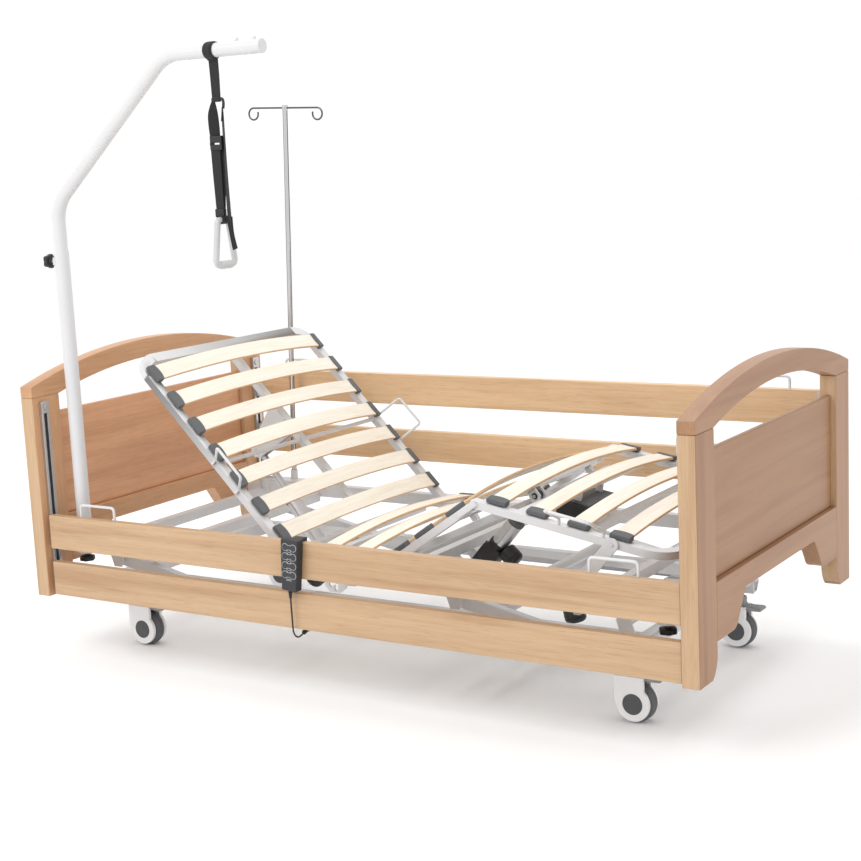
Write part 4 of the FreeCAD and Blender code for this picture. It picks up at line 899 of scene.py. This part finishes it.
strap.add(sweep(ring, circle(3.8, 14), up=(0, 1, 0)), 1)
strap.add(box((sx - 8, sx + 20), (sy - 5, sy + 5), (1580, 1593)), 0, 3, 3)
strap.add(strip([(sx - 7, sy - 1, 1588), (sx - 15, sy - 5, 1568), (sx - 21, sy - 7, 1546),
                 (sx - 21, sy - 7, 1515), (sx - 19, sy - 6, 1486)],
                [(sx - 2, sy + 1, 1588), (sx + 2, sy + 3, 1568), (sx + 5, sy + 4, 1546),
                 (sx + 8, sy + 3, 1515), (sx + 9, sy + 2, 1486)], 2.4), 0, 0.7, 2)
strap.add(strip([(sx + 17, sy + 7, 1564), (sx + 15, sy + 7, 1540), (sx + 14, sy + 7, 1450),
                 (sx + 12, sy + 7, 1362), (sx + 14, sy + 4, 1264)],
                [(sx + 31, sy - 7, 1564), (sx + 32, sy - 7, 1540), (sx + 32, sy - 7, 1450),
                 (sx + 33, sy - 7, 1362), (sx + 33, sy - 4, 1264)], 2.2), 0, 0.7, 2)
strap.add(strip([(sx + 19, sy + 5, 1566), (sx + 17, sy + 4, 1546), (sx + 15, sy + 3, 1529)],
                [(sx + 29, sy - 6, 1566), (sx + 27, sy - 7, 1546), (sx + 25, sy - 7, 1529)], 2.2), 0,
          0.7, 2)
for low, high in ((1454, 1469), (1473.5, 1492)):
    strap.add(box((sx - 21, sx + 19), (sy - 8, sy + 7), (low, high)), 1, 2.6, 3)
for low, high in ((-21, -15), (12, 19)):
    strap.add(box((sx + low, sx + high), (sy - 8, sy + 7), (1466, 1476)), 1, 1.2, 2)
strap.add(strip([(sx - 20, sy - 5, 1458), (sx - 18, sy - 5, 1381), (sx - 15, sy - 4, 1282)],
                [(sx + 10, sy - 3, 1458), (sx + 10, sy - 3, 1381), (sx + 9, sy - 2, 1282)], 3), 0,
          0.8, 2)
strap.add(strip([(sx - 8, sy + 4, 1458), (sx - 9, sy + 4, 1400), (sx - 8, sy + 4, 1340),
                 (sx - 10, sy + 3, 1284)],
                [(sx + 18, sy + 5, 1458), (sx + 17, sy + 6, 1400), (sx + 12, sy + 5, 1340),
                 (sx + 8, sy + 4, 1284)], 2.6), 0, 0.7, 2)
strap.add(box((sx - 20, sx + 10), (sy - 7, sy + 7), (1277, 1299)), 1, 2.6, 3)
strap.add(lathe([(-12.5, 9.4), (-12.5, 11.8), (12.5, 11.8), (12.5, 9.4), (-12.5, 9.4)],
                (sx, sy, GRIP_Z), (0, 1, 0), 40), 0)
strap.add(strip([(sx + 15, sy - 2, 1276), (sx + 22, sy - 3, 1232), (sx + 30, sy - 3, 1188)],
                [(sx + 32, sy + 2, 1278), (sx + 34, sy + 2, 1234), (sx + 43, sy + 2, 1193)], 2.2),
          0, 0.7, 2)
strap.done("trapeze_strap", "webbing", "trapeze_strap")

grip = Piece("trapeze_handle_shown", GRIP)
grip_low = 1150.0
loop = bent([(sx, sy, GRIP_Z), (sx, sy + 22, GRIP_Z), (sx, sy + 41, grip_low),
             (sx, sy - 41, grip_low), (sx, sy - 22, GRIP_Z), (sx, sy - 0.5, GRIP_Z)],
            [11, 13, 13, 11])[:-1]
grip.add(sweep(loop, rounded(15.6, 15.6, 6.4, 5), up=(1, 0, 0), closed=True), 0)
grip.add(lathe([(-26, 0), (-26, 7.6), (-23, 10.4), (-19, 11), (19, 11), (23, 10.4), (26, 7.6),
                (26, 0)], (sx, sy, grip_low), (0, 1, 0), 36), 0)
grip.done("trapeze_handle", "grey_plastic", "trapeze_handle")


# ---- drip pole ---------------------------------------------------------------------------------
BAR_Z = 1588.0
ix, iy = IV
drip = Piece("iv_pole_shown", CHROME, CHROME_PAINTED_REFLECTION)
# Faces of the pole turned sideways to the view take the darker chrome: painted reflection bands.
drip.add(lathe([(306.4, 0), (306.4, 8), (1594, 8), (1594, 8.5), (1597, 8.5), (1598, 7.5),
                (1598, 0)], (ix, iy, 0), (0, 0, 1), 36), 0, 0, 1, AT_IV,
         paint=lambda f: 1 if abs(0.84 * f.normal.x + 0.54 * f.normal.y) > 0.72 else 0)
for way in (-1, 1):
    hook = [(ix + way * 6, iy, BAR_Z), (ix + way * 70, iy, BAR_Z)]
    hook += [(ix + way * (130 + 19 * math.sin(math.radians(t))), iy,
              BAR_Z - 19 + 19 * math.cos(math.radians(t))) for t in range(0, 291, 10)]
    # The hooks are wholly in the darker chrome: painted reflection.
    drip.add(sweep(hook, circle(3, 14), up=(0, 1, 0)), 1, 0, 1, AT_IV)
drip.add(lathe([(-9, 8), (-9, 10), (9, 10), (9, 8), (-9, 8)], (ix, iy, BAR_Z - 1), (0, 0, 1), 36), 0,
         0.6, 2, AT_IV)
drip.done("iv_pole", "chrome_steel", "iv_pole")


# ---- handset -----------------------------------------------------------------------------------
AT_HANDSET = turn_about(HANDSET_X, HANG_Z, HANDSET_LEAN)


def dog_bone(cz, grow=0.0):
    lobe, waist, reach = 9.0 + grow, 5.5 + grow, 13.0
    open_half = math.degrees(math.asin(waist / lobe))
    out = arc((HANDSET_X + reach, cz), lobe, open_half - 180, 180 - open_half, 20)
    return out + arc((HANDSET_X - reach, cz), lobe, open_half, 360 - open_half, 20)


front = -556.0
hand = Piece("handset_shown", HANDSET, RIM, BLACK)
shell = [(26.5, 434), (26, 400), (22.5, 293), (-25, 293), (-28.5, 400), (-29, 434)]
hand.add(prism([(HANDSET_X + a, b) for a, b in shell], Y, front + 0.6, -528), 0, 3.4, 4, AT_HANDSET)
for cz in KEY_Z:
    line = [(a, front + 0.5, b) for a, b in dog_bone(cz, 0.6)]
    hand.add(sweep(line, circle(0.8, 8), up=(0, 1, 0), closed=True), 1, 0, 1, AT_HANDSET)
for cz in KEY_Z[:3]:
    ring = [(HANDSET_X + a, front + 0.5, cz - 12.5 + b) for a, b in circle(6.6, 32)]
    hand.add(sweep(ring, circle(0.7, 8), up=(0, 1, 0), closed=True), 1, 0, 1, AT_HANDSET)
    hand.add(box((HANDSET_X - 2.6, HANDSET_X + 2.6), (front + 0.2, front + 1), (cz - 13.3, cz - 11.7)),
             1, 0.3, 1, AT_HANDSET)
for low in (322.0, 325.5):
    hand.add(box((HANDSET_X - 9, HANDSET_X + 9), (front + 0.2, front + 1), (low, low + 1.3)), 1, 0.3,
             1, AT_HANDSET)
hand.add(box((-106, -70), (-530, -498), (422.4, 431)), 0, 1.5, 2)
hand.add(box((-106, -70), (-502.6, -498), (398, 431)), 0, 1.5, 2)
relief = [(0, 0), (0, 3.4), (2, 3.8)]
for k in range(5):
    relief += [(3 + 3.6 * k, 4.0 + 0.35 * k), (5 + 3.6 * k, 4.0 + 0.35 * k),
               (5.4 + 3.6 * k, 3.4 + 0.35 * k), (6.4 + 3.6 * k, 3.4 + 0.35 * k)]
relief += [(22, 6), (26, 6), (26, 0)]
hand.add(lathe(relief, ROUTE[0], (0, 0, 1), 28), 2)
hand.done("near_upper_rail", "black_plastic", "handset")
for k, cz in enumerate(KEY_Z):
    key = Piece("handset_key_%d_shown" % (k + 1), KEY)
    key.add(prism(dog_bone(cz, -0.3), Y, front - 1.5, front + 2.2), 0, 0.7, 2, AT_HANDSET)
    key.done("handset_key_%d" % (k + 1), "grey_plastic", "handset_key_%d" % (k + 1))

end, before = Vector(ROUTE[-1]), Vector(ROUTE[-2])
way = (end - before).normalized()
plug = Piece("handset_connector_shown", BLACK)
profile = [(-1, 0), (-1, 4), (0, 5.8), (6, 6.4)]
for k in range(4):
    profile += [(7 + 2.6 * k, 6.6), (8.2 + 2.6 * k, 6.6), (8.6 + 2.6 * k, 5.8)]
profile += [(19, 6.4), (25, 6.4), (26, 5.4), (26, 0)]
plug.add(lathe(profile, end, way, 28), 0)
plug_piece = plug.done("near_lower_rail", "black_plastic", "handset_connector")


# ---- floor and light ---------------------------------------------------------------------------
floor_mesh = bpy.data.meshes.new("floor")
floor_mesh.from_pydata([(-60, -60, 0), (60, -60, 0), (60, 60, 0), (-60, 60, 0)], [],
                       [(0, 1, 2, 3)])
floor = bpy.data.objects.new("floor", floor_mesh)
bpy.context.scene.collection.objects.link(floor)
floor_mesh.materials.append(plain("floor", (0.95, 0.95, 0.95, 1), 0.85, vary=0.0, bumps=0.0))

world = bpy.data.worlds.new("studio")
bpy.context.scene.world = world
world.use_nodes = True
world.node_tree.nodes["Background"].inputs["Color"].default_value = (1.0, 1.0, 1.0, 1)
world.node_tree.nodes["Background"].inputs["Strength"].default_value = 1.05


def lamp(name, place_at, target, size, power, colour=(1, 1, 1)):
    data = bpy.data.lights.new(name, "AREA")
    data.shape = "SQUARE"
    data.size = size
    data.energy = power
    data.color = colour
    obj = bpy.data.objects.new(name, data)
    obj.location = place_at
    look = Vector(target) - Vector(place_at)
    obj.rotation_euler = look.to_track_quat("-Z", "Y").to_euler()
    bpy.context.scene.collection.objects.link(obj)


lamp("key", (-1.6, -4.2, 4.2), (0, 0, 0.5), 3.0, 90, (1.0, 0.99, 0.97))
lamp("top", (0, 1.2, 4.6), (0, 0, 0.4), 3.5, 45)
bpy.context.scene.view_settings.view_transform = "Standard"
